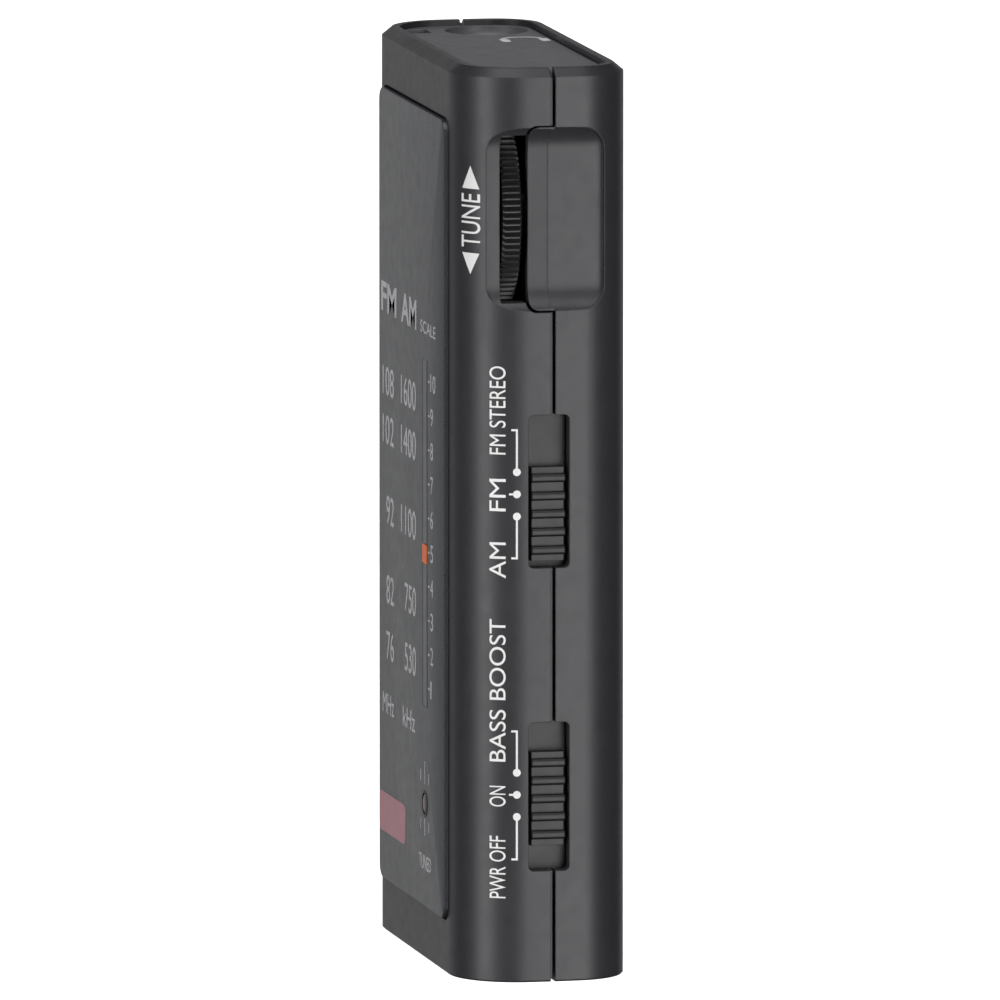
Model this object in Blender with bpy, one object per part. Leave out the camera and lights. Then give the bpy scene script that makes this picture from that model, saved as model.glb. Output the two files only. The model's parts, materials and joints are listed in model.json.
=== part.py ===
"""Pocket AM/FM radio with a side tuning wheel, two slide switches and a cord-driven dial pointer.

Metres, +Z up. The case stands on its bottom face, the dial faces -Y and the controls are on +X.
Driving dimensions are in millimetres here and become metres where the meshes are made.
"""

import math

import bmesh
import bpy
from mathutils import Vector

MM = 0.001

# case
CASE_W = 40.0
CASE_H = 82.0
FRONT_Y = -7.75
BACK_Y = 7.9
FRONT_R = 6.2
REAR_R = 5.1
WALL = 1.4
CORNER_STEPS = 8
SHOULDER_IN = 0.9
SHOULDER_DOWN = 0.75
BOTTOM_ROUND = 0.15
CAVITY_TOP = 79.0
HALF_W = CASE_W / 2
REAR_INNER_Y = BACK_Y - WALL
FRONT_INNER_Y = FRONT_Y + WALL
GAP = 0.3
REACH = 3.0
FAR = 60.0

# groove between the halves: the front half's skin ends first, then its step, then the rear half begins
SKIN_END_Y = 0.2
STEP_END_Y = 0.42
REAR_START_Y = 0.72
STEP_INSET = 0.3

# lip behind the seam
LIP_INSET = 1.7
LIP_THICK = 0.7
LIP_FRONT_Y = -0.9
LIP_ROOT_Y = 1.9
LIP_ROOT_INSET = 1.2
LIP_ROOM = 5.2
BLOCK_INSET = 0.7

# top inlay, headphone jack and strap post
INLAY_INSET = 1.6
INLAY_TOP = 81.5
INLAY_THICK = 0.9
INLAY_CLEAR = 0.15
JACK_X = -14.0
JACK_Y = 1.8
DISH_R = 3.74
JACK_BORE_R = 1.85
JACK_BODY = 6.0
JACK_BODY_TRIM = 0.4
JACK_BOTTOM = 67.0
JACK_TOP = 78.2
COLLAR_R = 3.0
COLLAR_BOTTOM = 78.5
COLLAR_TOP = 80.3
COLLAR_CONE_R = 2.6
STRAP_X = -14.6
STRAP_Y = -4.35
STRAP_LENGTH = 2.9
STRAP_WIDTH = 1.9
STRAP_BOTTOM = 78.2
STRAP_PIN_R = 0.4
STRAP_PIN_CLEAR = 0.02
STRAP_PIN_Z = 80.0

# dial panel
PANEL_HALF = 13.85
PANEL_LOW = 4.95
PANEL_HIGH = 76.8
PANEL_R = 1.3
PANEL_PROUD = 0.4
PANEL_THICK = 0.75
PANEL_SEAT_Y = -7.1
PANEL_CLEAR = 0.2
SCALE_X = 5.9
SCALE_LOW = 23.1
SCALE_HIGH = 54.4
SCALE_WIDTH = 2.1
SCALE_BACK_WIDTH = 3.0
LED_X = 5.8
LED_Z = 14.3
LED_LENS_R = 0.95
LED_HOLE_R = 1.25
LED_R = 1.5
LED_FRONT_Y = -5.6
LED_BACK_Y = -1.8
LED_LEAD_HALF = 0.2
LED_LEAD_X = 0.6
POINTER_Z = 36.9
POINTER_HALF_H = 1.5
POINTER_RIGHT_X = 6.95
POINTER_FRONT_Y = -6.0
POINTER_TIP_HALF_W = 0.75
POINTER_TIP_HALF_H = 0.85
POINTER_TIP_IN = 0.1

# tuning wheel and its finger recess
WHEEL_R = 10.0
WHEEL_X = 9.2
WHEEL_Z = 68.5
WHEEL_FRONT_Y = -3.85
WHEEL_THICK = 1.7
WHEEL_TEETH = 109
TOOTH_DEPTH = 0.22
HUB_BORE_R = 1.3
SHAFT_R = 1.0
DRUM_FRONT_Y = -5.6
DRUM_R = 4.85
DRUM_FLANGE_R = 5.9
DRUM_FLANGE = 0.3
CORD_R = 0.15
CORD_DRUM_R = 5.3
CORD_Y = -4.85
PULLEY_CORD_R = 2.4
PULLEY_Z = 19.5
PULLEY_GROOVE_R = 1.95
PULLEY_FLANGE_R = 2.9
PULLEY_BORE_R = 0.8
PULLEY_GROOVE_HALF = 0.45
PULLEY_HALF = 0.75
PULLEY_PIN_R = 0.55
PULLEY_PIN_END_Y = -3.6
RECESS_HALF_Y = 5.3
RECESS_LOW = 60.3
RECESS_HIGH = 76.75
RECESS_R = 2.3
RECESS_DEPTH = 1.5
RECESS_END_R = 3.0
RECESS_END_TURN = 75.0
RECESS_WALL = 1.0
SLOT_FRONT_Y = -4.15
SLOT_REAR_Y = -1.45
SLOT_LOW = 61.0
SLOT_HIGH = 76.0

# volume wheel
VOLUME_R = 7.0
VOLUME_X = -12.6
VOLUME_Z = 60.0
VOLUME_TEETH = 72
VOLUME_RECESS_DEPTH = 1.4
VOLUME_RECESS_HALF = 6.1
VOLUME_RECESS_FRONT = -5.3
VOLUME_RECESS_REAR = -0.6
VOLUME_SLOT_HALF = 5.6

# slide switches
SWITCH_Y = 0.12
SWITCH_SLOT_W = 3.75
BAND_SLOT_LOW = 37.25
BAND_SLOT_HIGH = 51.0
BAND_KNOB_Z = 42.05
POWER_SLOT_LOW = 10.0
POWER_SLOT_HIGH = 23.4
POWER_KNOB_Z = 16.45
SWITCH_SLOTS = (("band", BAND_SLOT_LOW, BAND_SLOT_HIGH), ("power", POWER_SLOT_LOW, POWER_SLOT_HIGH))
SWITCH_CENTRES = {
    "band_switch": (BAND_SLOT_LOW + BAND_SLOT_HIGH) / 2,
    "power_switch": (POWER_SLOT_LOW + POWER_SLOT_HIGH) / 2,
}
KNOB_LENGTH = 8.0
KNOB_WIDTH = 3.15
KNOB_FACE_X = 19.85
KNOB_GROOVE_X = 19.4
KNOB_RIBS = 5
RIB_PITCH = 1.62
RIB_THICK = 0.72
SKIRT_INNER_X = 17.5
SKIRT_OUTER_X = 18.3
SKIRT_LENGTH = 18.4
SKIRT_WIDTH = 4.7
FORK_X = 16.3
FORK_GAP_HALF = 1.1
FORK_THICK = 0.8
FORK_WIDTH = 2.0
SWITCH_BODY_INNER_X = 11.9
SWITCH_BODY_OUTER_X = 15.9
SWITCH_BODY_LENGTH = 12.0
SWITCH_BODY_WIDTH = 3.7
SWITCH_WINDOW_LENGTH = 7.0
SWITCH_WINDOW_WIDTH = 2.2
LEVER_SIZE = 1.6
LEVER_INNER_X = 13.4
LEVER_OUTER_X = 17.2

# circuit board and its components
BOARD_FRONT_Y = 2.3
BOARD_THICK = 1.0
BOARD_RIGHT_X = 16.9
BOARD_LEFT_X = -2.4
BOARD_FAR_X = -17.2
BOARD_LOW = 3.0
BOARD_NOTCH_Z = 52.0
BOARD_STEP_Z = 65.6
BOARD_STEP_X = -9.6
BOARD_HIGH = 77.4
PART_BACK_Y = 2.0
CHIPS = (
    ("receiver_chip", 4.4, 10.0, 1.0, 31.0, 37.0),
    ("amplifier_chip", 4.6, 9.6, 1.0, 43.0, 47.0),
    ("tuning_crystal", 5.2, 8.8, 0.6, 25.0, 26.6),
)
CAPACITORS = (("capacitor_supply", 7.2, 52.6), ("capacitor_left", 2.6, 8.4), ("capacitor_right", 13.0, 30.0))
CAPACITOR_R = 2.0
CAPACITOR_FRONT_Y = -3.4
CAPACITOR_EDGE = 0.2
ROD_X = (-1.6, 1.4)
ROD_Y = (-3.6, -0.8)
ROD_Z = (12.0, 50.0)
COIL_WALL = 0.5
COIL_CLEAR = 0.05
COIL_Z = (24.0, 38.0)
POT_FRONT_Y = -1.5
POT_R = 4.4
VOLUME_POT_R = 3.9
POT_BORE_R = 1.3

# battery bay
CELL_R = 5.25
CELL_LENGTH = 43.7
CELL_NIB_R = 2.6
CELL_EDGE = 0.4
CELL_NIB = 0.8
CELL_X = -9.0
CELL_Y = 0.5
CELL_LOW = 6.0
BAY_WALL_X = -3.45
BAY_WALL_THICK = 0.7
BAY_WALL_LOW = 2.8
BAY_WALL_HIGH = 50.0
PLATE_HALF = 3.6
PLATE_THICK = 0.4
SPRING_R = 2.6
SPRING_WIRE_R = 0.3
SPRING_TURNS = 3
SPRING_SEGMENTS = 10
SPRING_SIDES = 6
SPRING_FLARE = 0.9
DOOR_LEFT_X = -14.55
DOOR_RIGHT_X = -3.45
DOOR_LOW = 0.3
DOOR_HIGH = 51.5
RAIL_WIDTH = 1.05
RAIL_FRONT_Y = 6.05
RAIL_THICK = 0.65
RAIL_LIP_Y = 7.0
RAIL_LOW = 2.0
GRIP_COUNT = 4
GRIP_LOW = 5.0
GRIP_PITCH = 1.4
GRIP_WIDTH = 0.6
GRIP_LENGTH = 6.0
GRIP_DEPTH = 0.35

# case screws: X, Z of each
SCREW_SPOTS = ((13.5, 5.6), (-1.5, 54.5), (-5.6, 75.2))
SCREW_NAMES = ("case_screw_lower", "case_screw_middle", "case_screw_upper")
BOSS_R = 2.0
BOSS_BACK_Y = 2.0
PILLAR_FRONT_Y = 3.6
SCREW_HEAD_R = 1.65
SCREW_HEAD_OUT_Y = 7.2
SCREW_HEAD_IN_Y = 6.1
SCREW_SINK_R = 1.95
SCREW_SHANK_R = 0.7
SCREW_HOLE_R = 1.0
SCREW_TIP_Y = -1.0
DRIVE_LENGTH = 2.2
DRIVE_WIDTH = 0.45
DRIVE_DEPTH = 0.5

ROUND_STEPS = 24
SMALL_STEPS = 14
SMOOTH_ANGLE = math.radians(35)

COLOURS = {
    "shell": (0.07, 0.07, 0.075),
    "panel": (0.1, 0.1, 0.108),
    "inlay": (0.12, 0.12, 0.13),
    "black": (0.02, 0.02, 0.021),
    "steel": (0.6, 0.6, 0.62),
    "board": (0.05, 0.22, 0.12),
    "copper": (0.6, 0.3, 0.16),
    "ferrite": (0.09, 0.08, 0.08),
    "orange": (0.85, 0.22, 0.05),
    "clear_red": (0.5, 0.05, 0.04),
    "cord": (0.75, 0.73, 0.68),
    "cell": (0.16, 0.2, 0.36),
    "can": (0.12, 0.14, 0.2),
}


def clear_scene():
    for item in list(bpy.data.objects):
        bpy.data.objects.remove(item, do_unlink=True)


def collection(name):
    group = bpy.data.collections.new(name)
    bpy.context.scene.collection.children.link(group)
    return group


def material(name, colour, metal):
    made = bpy.data.materials.new(name)
    made.use_nodes = True
    shader = made.node_tree.nodes["Principled BSDF"]
    shader.inputs["Base Color"].default_value = (*COLOURS[colour], 1.0)
    shader.inputs["Metallic"].default_value = metal
    shader.inputs["Roughness"].default_value = 0.45
    return made


def make(name, mesh_parts, group, colour=None, metal=0.0, origin=(0.0, 0.0, 0.0)):
    """One named object from a bmesh in millimetres, with its origin moved to a joint axis."""
    bm = mesh_parts
    bmesh.ops.recalc_face_normals(bm, faces=bm.faces)
    bmesh.ops.translate(bm, verts=bm.verts, vec=-Vector(origin))
    bmesh.ops.scale(bm, verts=bm.verts, vec=(MM, MM, MM))
    mesh = bpy.data.meshes.new(name)
    bm.to_mesh(mesh)
    bm.free()
    item = bpy.data.objects.new(name, mesh)
    item.location = Vector(origin) * MM
    group.objects.link(item)
    if colour:
        mesh.materials.append(material(name + "_mat", colour, metal))
    return item


def smooth(item):
    item.data.shade_smooth()
    item.data.set_sharp_from_angle(angle=SMOOTH_ANGLE)


def cutter(name, bm):
    item = make(name, bm, CUTTERS)
    item.hide_render = True
    item.display_type = "WIRE"
    return item


def boolean(item, tool, operation):
    step = item.modifiers.new(tool.name, "BOOLEAN")
    step.operation = operation
    step.solver = "EXACT"
    step.object = tool


def cut(item, name, bm):
    boolean(item, cutter(name, bm), "DIFFERENCE")


def join(item, name, solid):
    """Adds a solid, given either as a bmesh or as an object that is already among the cutters."""
    tool = solid if isinstance(solid, bpy.types.Object) else cutter(name, solid)
    boolean(item, tool, "UNION")


# mesh builders, all in millimetres


def box(x0, x1, y0, y1, z0, z1):
    bm = bmesh.new()
    bmesh.ops.create_cube(bm, size=1.0)
    bmesh.ops.scale(bm, verts=bm.verts, vec=(x1 - x0, y1 - y0, z1 - z0))
    centre = ((x0 + x1) / 2, (y0 + y1) / 2, (z0 + z1) / 2)
    bmesh.ops.translate(bm, verts=bm.verts, vec=centre)
    return bm


def stack(rings):
    """A closed solid through rings of points that all have the same count."""
    bm = bmesh.new()
    loops = [[bm.verts.new(point) for point in ring] for ring in rings]
    count = len(loops[0])
    for low, high in zip(loops, loops[1:]):
        for index in range(count):
            after = (index + 1) % count
            bm.faces.new((low[index], low[after], high[after], high[index]))
    bm.faces.new(loops[0][::-1])
    bm.faces.new(loops[-1])
    return bm


def circle_y(x, z, radius, y, steps):
    ring = []
    for index in range(steps):
        turn = 2 * math.pi * index / steps
        ring.append((x + radius * math.cos(turn), y, z + radius * math.sin(turn)))
    return ring


def lathe_y(x, z, profile, steps=ROUND_STEPS):
    """A solid of revolution about a Y line from (y, radius) pairs."""
    return stack([circle_y(x, z, radius, y, steps) for y, radius in profile])


def rod_y(x, z, radius, y0, y1, steps=ROUND_STEPS):
    return lathe_y(x, z, ((y0, radius), (y1, radius)), steps)


def lathe_z(x, y, profile, steps=ROUND_STEPS):
    rings = []
    for z, radius in profile:
        ring = []
        for index in range(steps):
            turn = 2 * math.pi * index / steps
            ring.append((x + radius * math.cos(turn), y + radius * math.sin(turn), z))
        rings.append(ring)
    return stack(rings)


def rod_z(x, y, radius, z0, z1, steps=ROUND_STEPS):
    return lathe_z(x, y, ((z0, radius), (z1, radius)), steps)


def rod_x(y, z, radius, x0, x1, steps=SMALL_STEPS):
    rings = []
    for x in (x0, x1):
        ring = []
        for index in range(steps):
            turn = 2 * math.pi * index / steps
            ring.append((x, y + radius * math.cos(turn), z + radius * math.sin(turn)))
        rings.append(ring)
    return stack(rings)


def quarter(cx, cy, radius, start, steps):
    points = []
    for index in range(steps + 1):
        turn = start + math.pi / 2 * index / steps
        points.append((cx + radius * math.cos(turn), cy + radius * math.sin(turn)))
    return points


def plan(inset, steps=CORNER_STEPS):
    """Case outline from above, counter-clockwise, moved inwards by an inset."""
    rear = REAR_R - inset
    front = FRONT_R - inset
    points = quarter(HALF_W - REAR_R, BACK_Y - REAR_R, rear, 0.0, steps)
    points += quarter(REAR_R - HALF_W, BACK_Y - REAR_R, rear, math.pi / 2, steps)
    points += quarter(FRONT_R - HALF_W, FRONT_Y + FRONT_R, front, math.pi, steps)
    points += quarter(HALF_W - FRONT_R, FRONT_Y + FRONT_R, front, -math.pi / 2, steps)
    return points


def plan_stack(levels, steps=CORNER_STEPS):
    return stack([[(x, y, z) for x, y in plan(inset, steps)] for z, inset in levels])


def rounded_plate(half, low, high, radius, y0, y1, steps=4):
    """Rounded rectangle in X and Z, as thick as y0 to y1."""
    corners = quarter(half - radius, high - radius, radius, 0.0, steps)
    corners += quarter(radius - half, high - radius, radius, math.pi / 2, steps)
    corners += quarter(radius - half, low + radius, radius, math.pi, steps)
    corners += quarter(half - radius, low + radius, radius, -math.pi / 2, steps)
    return stack([[(x, y, z) for x, z in corners] for y in (y0, y1)])


def side_plate(y0, y1, low, high, radius, x0, x1, steps=5):
    """Rounded rectangle in Y and Z, as thick as x0 to x1."""
    corners = quarter(y1 - radius, high - radius, radius, 0.0, steps)
    corners += quarter(y0 + radius, high - radius, radius, math.pi / 2, steps)
    corners += quarter(y0 + radius, low + radius, radius, math.pi, steps)
    corners += quarter(y1 - radius, low + radius, radius, -math.pi / 2, steps)
    return stack([[(x, y, z) for y, z in corners] for x in (x0, x1)])


def toothed_ring(x, z, radius, teeth, depth, y):
    ring = []
    for index in range(teeth):
        for part, reach in ((0.0, radius), (0.4, radius), (0.55, radius - depth), (0.85, radius - depth)):
            turn = 2 * math.pi * (index + part) / teeth
            ring.append((x + reach * math.cos(turn), y, z + reach * math.sin(turn)))
    return ring


def toothed_disc(x, z, radius, teeth, depth, y0, y1):
    rings = [toothed_ring(x, z, radius, teeth, depth, y) for y in (y0, y1)]
    return stack(rings)


def pipe(points, radius, sides, closed):
    """A round tube along a path that stays in one plane of constant Y."""
    bm = bmesh.new()
    across = Vector((0.0, 1.0, 0.0))
    count = len(points)
    loops = []
    for index, point in enumerate(points):
        before = points[index - 1] if closed or index else point
        after = points[(index + 1) % count] if closed or index < count - 1 else point
        along = (Vector(after) - Vector(before)).normalized()
        side = along.cross(across).normalized()
        loop = []
        for step in range(sides):
            turn = 2 * math.pi * step / sides
            offset = side * math.cos(turn) + across * math.sin(turn)
            loop.append(bm.verts.new(Vector(point) + offset * radius))
        loops.append(loop)
    pairs = list(zip(loops, loops[1:]))
    if closed:
        pairs.append((loops[-1], loops[0]))
    for low, high in pairs:
        for step in range(sides):
            after = (step + 1) % sides
            bm.faces.new((low[step], low[after], high[after], high[step]))
    return bm


# case halves


def recess_cutter():
    """Finger recess whose flat floor curves up to the case side at both ends."""
    high = RECESS_HIGH - RECESS_R
    low = RECESS_LOW + RECESS_R
    side = RECESS_HALF_Y - RECESS_R
    floor_x = HALF_W - RECESS_DEPTH
    outline = quarter(side, high, RECESS_R, 0.0, 6)
    outline += quarter(-side, high, RECESS_R, math.pi / 2, 6)
    outline += quarter(-side, low, RECESS_R, math.pi, 6)
    outline += quarter(side, low, RECESS_R, -math.pi / 2, 6)
    prism = stack([[(x, y, z) for y, z in outline] for x in (floor_x - GAP, HALF_W + REACH)])
    rise = math.sqrt(RECESS_END_R ** 2 - (RECESS_END_R - RECESS_DEPTH) ** 2)
    steps = 8
    profile = [(floor_x - REACH, RECESS_LOW - REACH), (floor_x - REACH, RECESS_HIGH + REACH)]
    for end, side in ((RECESS_HIGH - rise, 1), (RECESS_LOW + rise, -1)):
        arc = []
        for index in range(steps + 1):
            turn = math.radians(RECESS_END_TURN) * index / steps
            x = floor_x + RECESS_END_R * (1 - math.cos(turn))
            arc.append((x, end + side * RECESS_END_R * math.sin(turn)))
        profile += arc[::-1] if side > 0 else arc
    reach_y = RECESS_HALF_Y + 1.0
    below = stack([[(x, y, z) for x, z in profile] for y in (-reach_y, reach_y)])
    return prism, below


def cut_recess(shell, label):
    prism, below = recess_cutter()
    tool = cutter(label + "_recess_tool", prism)
    boolean(tool, cutter(label + "_recess_floor", below), "DIFFERENCE")
    boolean(shell, tool, "DIFFERENCE")


def shell_blank(name, label):
    levels = ((0.0, BOTTOM_ROUND), (BOTTOM_ROUND, 0.0), (CASE_H - SHOULDER_DOWN, 0.0), (CASE_H, SHOULDER_IN))
    shell = make(name, plan_stack(levels), PARTS, "shell")
    cut(shell, label + "_cavity", plan_stack(((WALL, WALL), (CAVITY_TOP, WALL))))
    return shell


def join_inside(shell, name, across, deep, tall):
    """Thickens a wall inwards over a box, without reaching past the curved outside."""
    tool = cutter(name, plan_stack(((tall[0], BLOCK_INSET), (tall[1], BLOCK_INSET))))
    boolean(tool, cutter(name + "_limits", box(*across, *deep, tall[0] - 1.0, tall[1] + 1.0)), "INTERSECT")
    boolean(shell, tool, "UNION")


def cut_top(shell, label):
    floor = INLAY_TOP - INLAY_THICK - GAP
    cut(shell, label + "_pocket", plan_stack(((floor, INLAY_INSET), (CASE_H + REACH, INLAY_INSET))))
    cut(shell, label + "_jack_hole", rod_z(JACK_X, JACK_Y, COLLAR_R + GAP, JACK_TOP - REACH, CASE_H))


def front_shell():
    shell = shell_blank("front_shell", "front")
    cut(shell, "front_half", box(-FAR, FAR, STEP_END_Y, FAR, -REACH, CASE_H + REACH))
    cut_groove(shell)
    back = RECESS_DEPTH + RECESS_WALL
    join_inside(shell, "front_recess_block", (HALF_W - back, HALF_W), (-RECESS_HALF_Y - 0.9, STEP_END_Y),
                (RECESS_LOW - 1.2, RECESS_HIGH + 1.2))
    add_volume_block(shell)
    add_strap_block(shell)
    add_front_bosses(shell)
    wall = box(BAY_WALL_X, BAY_WALL_X + BAY_WALL_THICK, FRONT_INNER_Y - 0.5, REAR_INNER_Y - 1.0,
               BAY_WALL_LOW, BAY_WALL_HIGH)
    join(shell, "bay_wall", wall)
    cut_top(shell, "front")
    cut_recess(shell, "front")
    tongue = box(HALF_W - back - 1.0, FAR, SLOT_REAR_Y - GAP, FAR, RECESS_LOW - GAP, RECESS_HIGH + GAP)
    cut(shell, "tongue_room", tongue)
    slot = box(HALF_W - back - 1.0, HALF_W + REACH, SLOT_FRONT_Y, SLOT_REAR_Y, SLOT_LOW, SLOT_HIGH)
    cut(shell, "wheel_slot", slot)
    cut_volume_recess(shell)
    cut_switch_slots(shell, "front")
    cut_panel_seat(shell)
    cut_strap(shell)
    smooth(shell)


def cut_groove(shell):
    """Takes the skin of the front half away beside the seam and leaves a step under it."""
    tool = cutter("groove_tool", box(-FAR, FAR, SKIN_END_Y, FAR, -REACH, CASE_H + REACH))
    shoulder = CASE_H - SHOULDER_DOWN - STEP_INSET / 2
    step = plan_stack(((STEP_INSET, STEP_INSET), (shoulder, STEP_INSET),
                       (CASE_H - STEP_INSET, SHOULDER_IN + STEP_INSET / 3)))
    boolean(tool, cutter("groove_step", step), "DIFFERENCE")
    boolean(shell, tool, "DIFFERENCE")


def add_front_bosses(shell):
    for index, (x, z) in enumerate(SCREW_SPOTS):
        boss = rod_y(x, z, BOSS_R, FRONT_INNER_Y - 0.5, BOSS_BACK_Y, SMALL_STEPS)
        join(shell, "boss_" + str(index), boss)
        hole = rod_y(x, z, SCREW_HOLE_R, SCREW_TIP_Y - 0.8, REACH, SMALL_STEPS)
        cut(shell, "boss_hole_" + str(index), hole)
    x = WHEEL_X - CORD_DRUM_R + PULLEY_CORD_R
    pin = rod_y(x, PULLEY_Z, PULLEY_PIN_R, FRONT_INNER_Y - 0.5, PULLEY_PIN_END_Y, SMALL_STEPS)
    join(shell, "pulley_post", pin)


def add_volume_block(shell):
    inner = VOLUME_RECESS_DEPTH + RECESS_WALL - HALF_W
    half = VOLUME_RECESS_HALF + 1.0
    join_inside(shell, "volume_block", (-HALF_W, inner), (VOLUME_RECESS_FRONT - 0.9, STEP_END_Y),
                (VOLUME_Z - half, VOLUME_Z + half))


def cut_volume_recess(shell):
    inner = VOLUME_RECESS_DEPTH - HALF_W
    recess = side_plate(VOLUME_RECESS_FRONT, VOLUME_RECESS_REAR, VOLUME_Z - VOLUME_RECESS_HALF,
                        VOLUME_Z + VOLUME_RECESS_HALF, 1.5, -HALF_W - REACH, inner)
    cut(shell, "volume_recess", recess)
    slot = box(-HALF_W - REACH, inner + RECESS_WALL + 1.0, SLOT_FRONT_Y, WHEEL_FRONT_Y + WHEEL_THICK + GAP,
               VOLUME_Z - VOLUME_SLOT_HALF, VOLUME_Z + VOLUME_SLOT_HALF)
    cut(shell, "volume_slot", slot)


def add_strap_block(shell):
    join_inside(shell, "strap_block", (-HALF_W, STRAP_X + STRAP_LENGTH / 2 + 0.9),
                (FRONT_Y, STRAP_Y + STRAP_WIDTH / 2 + 0.8), (STRAP_BOTTOM - 1.0, CAVITY_TOP + 1.0))


def cut_strap(shell):
    hole = box(STRAP_X - STRAP_LENGTH / 2, STRAP_X + STRAP_LENGTH / 2, STRAP_Y - STRAP_WIDTH / 2,
               STRAP_Y + STRAP_WIDTH / 2, STRAP_BOTTOM, CASE_H + REACH)
    cut(shell, "strap_hole", hole)


def cut_panel_seat(shell):
    seat = rounded_plate(PANEL_HALF + PANEL_CLEAR, PANEL_LOW - PANEL_CLEAR, PANEL_HIGH + PANEL_CLEAR,
                         PANEL_R + PANEL_CLEAR, FRONT_Y - REACH, PANEL_SEAT_Y)
    cut(shell, "panel_seat", seat)
    half = SCALE_BACK_WIDTH / 2
    slot = box(SCALE_X - half, SCALE_X + half, FRONT_Y, FRONT_INNER_Y + REACH / 2,
               SCALE_LOW - 0.8, SCALE_HIGH + 0.8)
    cut(shell, "scale_slot_back", slot)
    cut(shell, "led_hole_back", rod_y(LED_X, LED_Z, LED_HOLE_R, FRONT_Y, FRONT_INNER_Y + 1.0, SMALL_STEPS))


def cut_switch_slots(shell, label):
    half = SWITCH_SLOT_W / 2
    for name, low, high in SWITCH_SLOTS:
        slot = side_plate(SWITCH_Y - half, SWITCH_Y + half, low, high, 0.5, HALF_W - REACH, HALF_W + REACH, 3)
        cut(shell, label + "_" + name + "_slot", slot)


def rear_shell():
    shell = shell_blank("rear_shell", "rear")
    cut(shell, "rear_half", box(-FAR, FAR, -FAR, REAR_START_Y, -REACH, CASE_H + REACH))
    join(shell, "rear_lip", lip_blank())
    back = RECESS_DEPTH + RECESS_WALL
    join_inside(shell, "rear_recess_block", (HALF_W - back, HALF_W), (REAR_START_Y, RECESS_HALF_Y + 0.9),
                (RECESS_LOW - 1.1, RECESS_HIGH + 1.1))
    join(shell, "recess_tongue", tongue_skin())
    add_pillars(shell)
    cut_top(shell, "rear")
    cut_recess(shell, "rear")
    cut_switch_slots(shell, "rear")
    cut_door(shell)
    smooth(shell)


def tongue_skin():
    """Floor of the recess, which reaches forward past the seam to the wheel."""
    back = RECESS_DEPTH + RECESS_WALL
    return box(HALF_W - back, HALF_W - STEP_INSET, SLOT_REAR_Y, REAR_START_Y + 1.0, RECESS_LOW, RECESS_HIGH)


def lip_blank():
    """Lip of the rear half that stands inside the front half, with room for what passes it."""
    outer = LIP_INSET
    inner = LIP_INSET + LIP_THICK
    high = CASE_H - REACH - GAP
    lip = cutter("lip_front", plan_stack(((outer, outer), (high, outer))))
    root = plan_stack(((LIP_ROOT_INSET, LIP_ROOT_INSET), (CAVITY_TOP + 0.2, LIP_ROOT_INSET)))
    lip_step(lip, "trim", box(-FAR, FAR, REAR_START_Y + 0.4, FAR, -REACH, CASE_H))
    back = cutter("lip_root", root)
    lip_step(back, "root_trim", box(-FAR, FAR, -FAR, REAR_START_Y, -REACH, CASE_H))
    lip_step(back, "root_back", box(-FAR, FAR, LIP_ROOT_Y, FAR, -REACH, CASE_H))
    boolean(lip, back, "UNION")
    lip_step(lip, "end", box(-FAR, FAR, -FAR, LIP_FRONT_Y, -REACH, CASE_H))
    lip_step(lip, "hollow", plan_stack(((inner, inner), (high - LIP_THICK, inner))))
    room_back = LIP_ROOT_Y + 0.1
    for label, low, top in SWITCH_SLOTS:
        room = box(SWITCH_BODY_OUTER_X, FAR, -REACH, room_back, low - LIP_ROOM, top + LIP_ROOM)
        lip_step(lip, label, room)
    lip_step(lip, "recess", box(SWITCH_BODY_INNER_X, FAR, -REACH, room_back, RECESS_LOW - 1.7, CASE_H))
    lip_step(lip, "volume", box(-FAR, VOLUME_X, -REACH, room_back, VOLUME_Z - VOLUME_R - 1.0,
                                VOLUME_Z + VOLUME_R + 1.0))
    lip_step(lip, "jack", rod_z(JACK_X, JACK_Y, COLLAR_R + 1.2, JACK_BOTTOM, CASE_H))
    return lip


def lip_step(lip, label, room):
    boolean(lip, cutter("lip_room_" + label, room), "DIFFERENCE")


def add_pillars(shell):
    for index, (x, z) in enumerate(SCREW_SPOTS):
        pillar = rod_y(x, z, SCREW_SINK_R + 0.5, PILLAR_FRONT_Y, REAR_INNER_Y + 0.5, SMALL_STEPS)
        join(shell, "pillar_" + str(index), pillar)
        cut(shell, "pillar_hole_" + str(index), rod_y(x, z, SCREW_HOLE_R, 0.0, FAR, SMALL_STEPS))
        sink = rod_y(x, z, SCREW_SINK_R, SCREW_HEAD_IN_Y - GAP, FAR, ROUND_STEPS)
        cut(shell, "pillar_sink_" + str(index), sink)


def cut_door(shell):
    opening = box(DOOR_LEFT_X, DOOR_RIGHT_X, RAIL_FRONT_Y - 0.2, FAR, -REACH, DOOR_HIGH)
    cut(shell, "door_opening", opening)
    rails = box(DOOR_LEFT_X - RAIL_WIDTH - GAP, DOOR_RIGHT_X + RAIL_WIDTH + GAP, RAIL_FRONT_Y - 0.2,
                RAIL_LIP_Y, -REACH, DOOR_HIGH)
    cut(shell, "door_rails", rails)


# panels and dial


def dial_panel():
    front = FRONT_Y - PANEL_PROUD
    plate = rounded_plate(PANEL_HALF, PANEL_LOW, PANEL_HIGH, PANEL_R, front, front + PANEL_THICK)
    panel = make("dial_panel", plate, PARTS, "panel")
    half = SCALE_WIDTH / 2
    cut(panel, "scale_slot", box(SCALE_X - half, SCALE_X + half, -FAR, 0.0, SCALE_LOW, SCALE_HIGH))
    cut(panel, "led_hole", rod_y(LED_X, LED_Z, LED_HOLE_R, -FAR, 0.0, SMALL_STEPS))
    smooth(panel)


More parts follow.
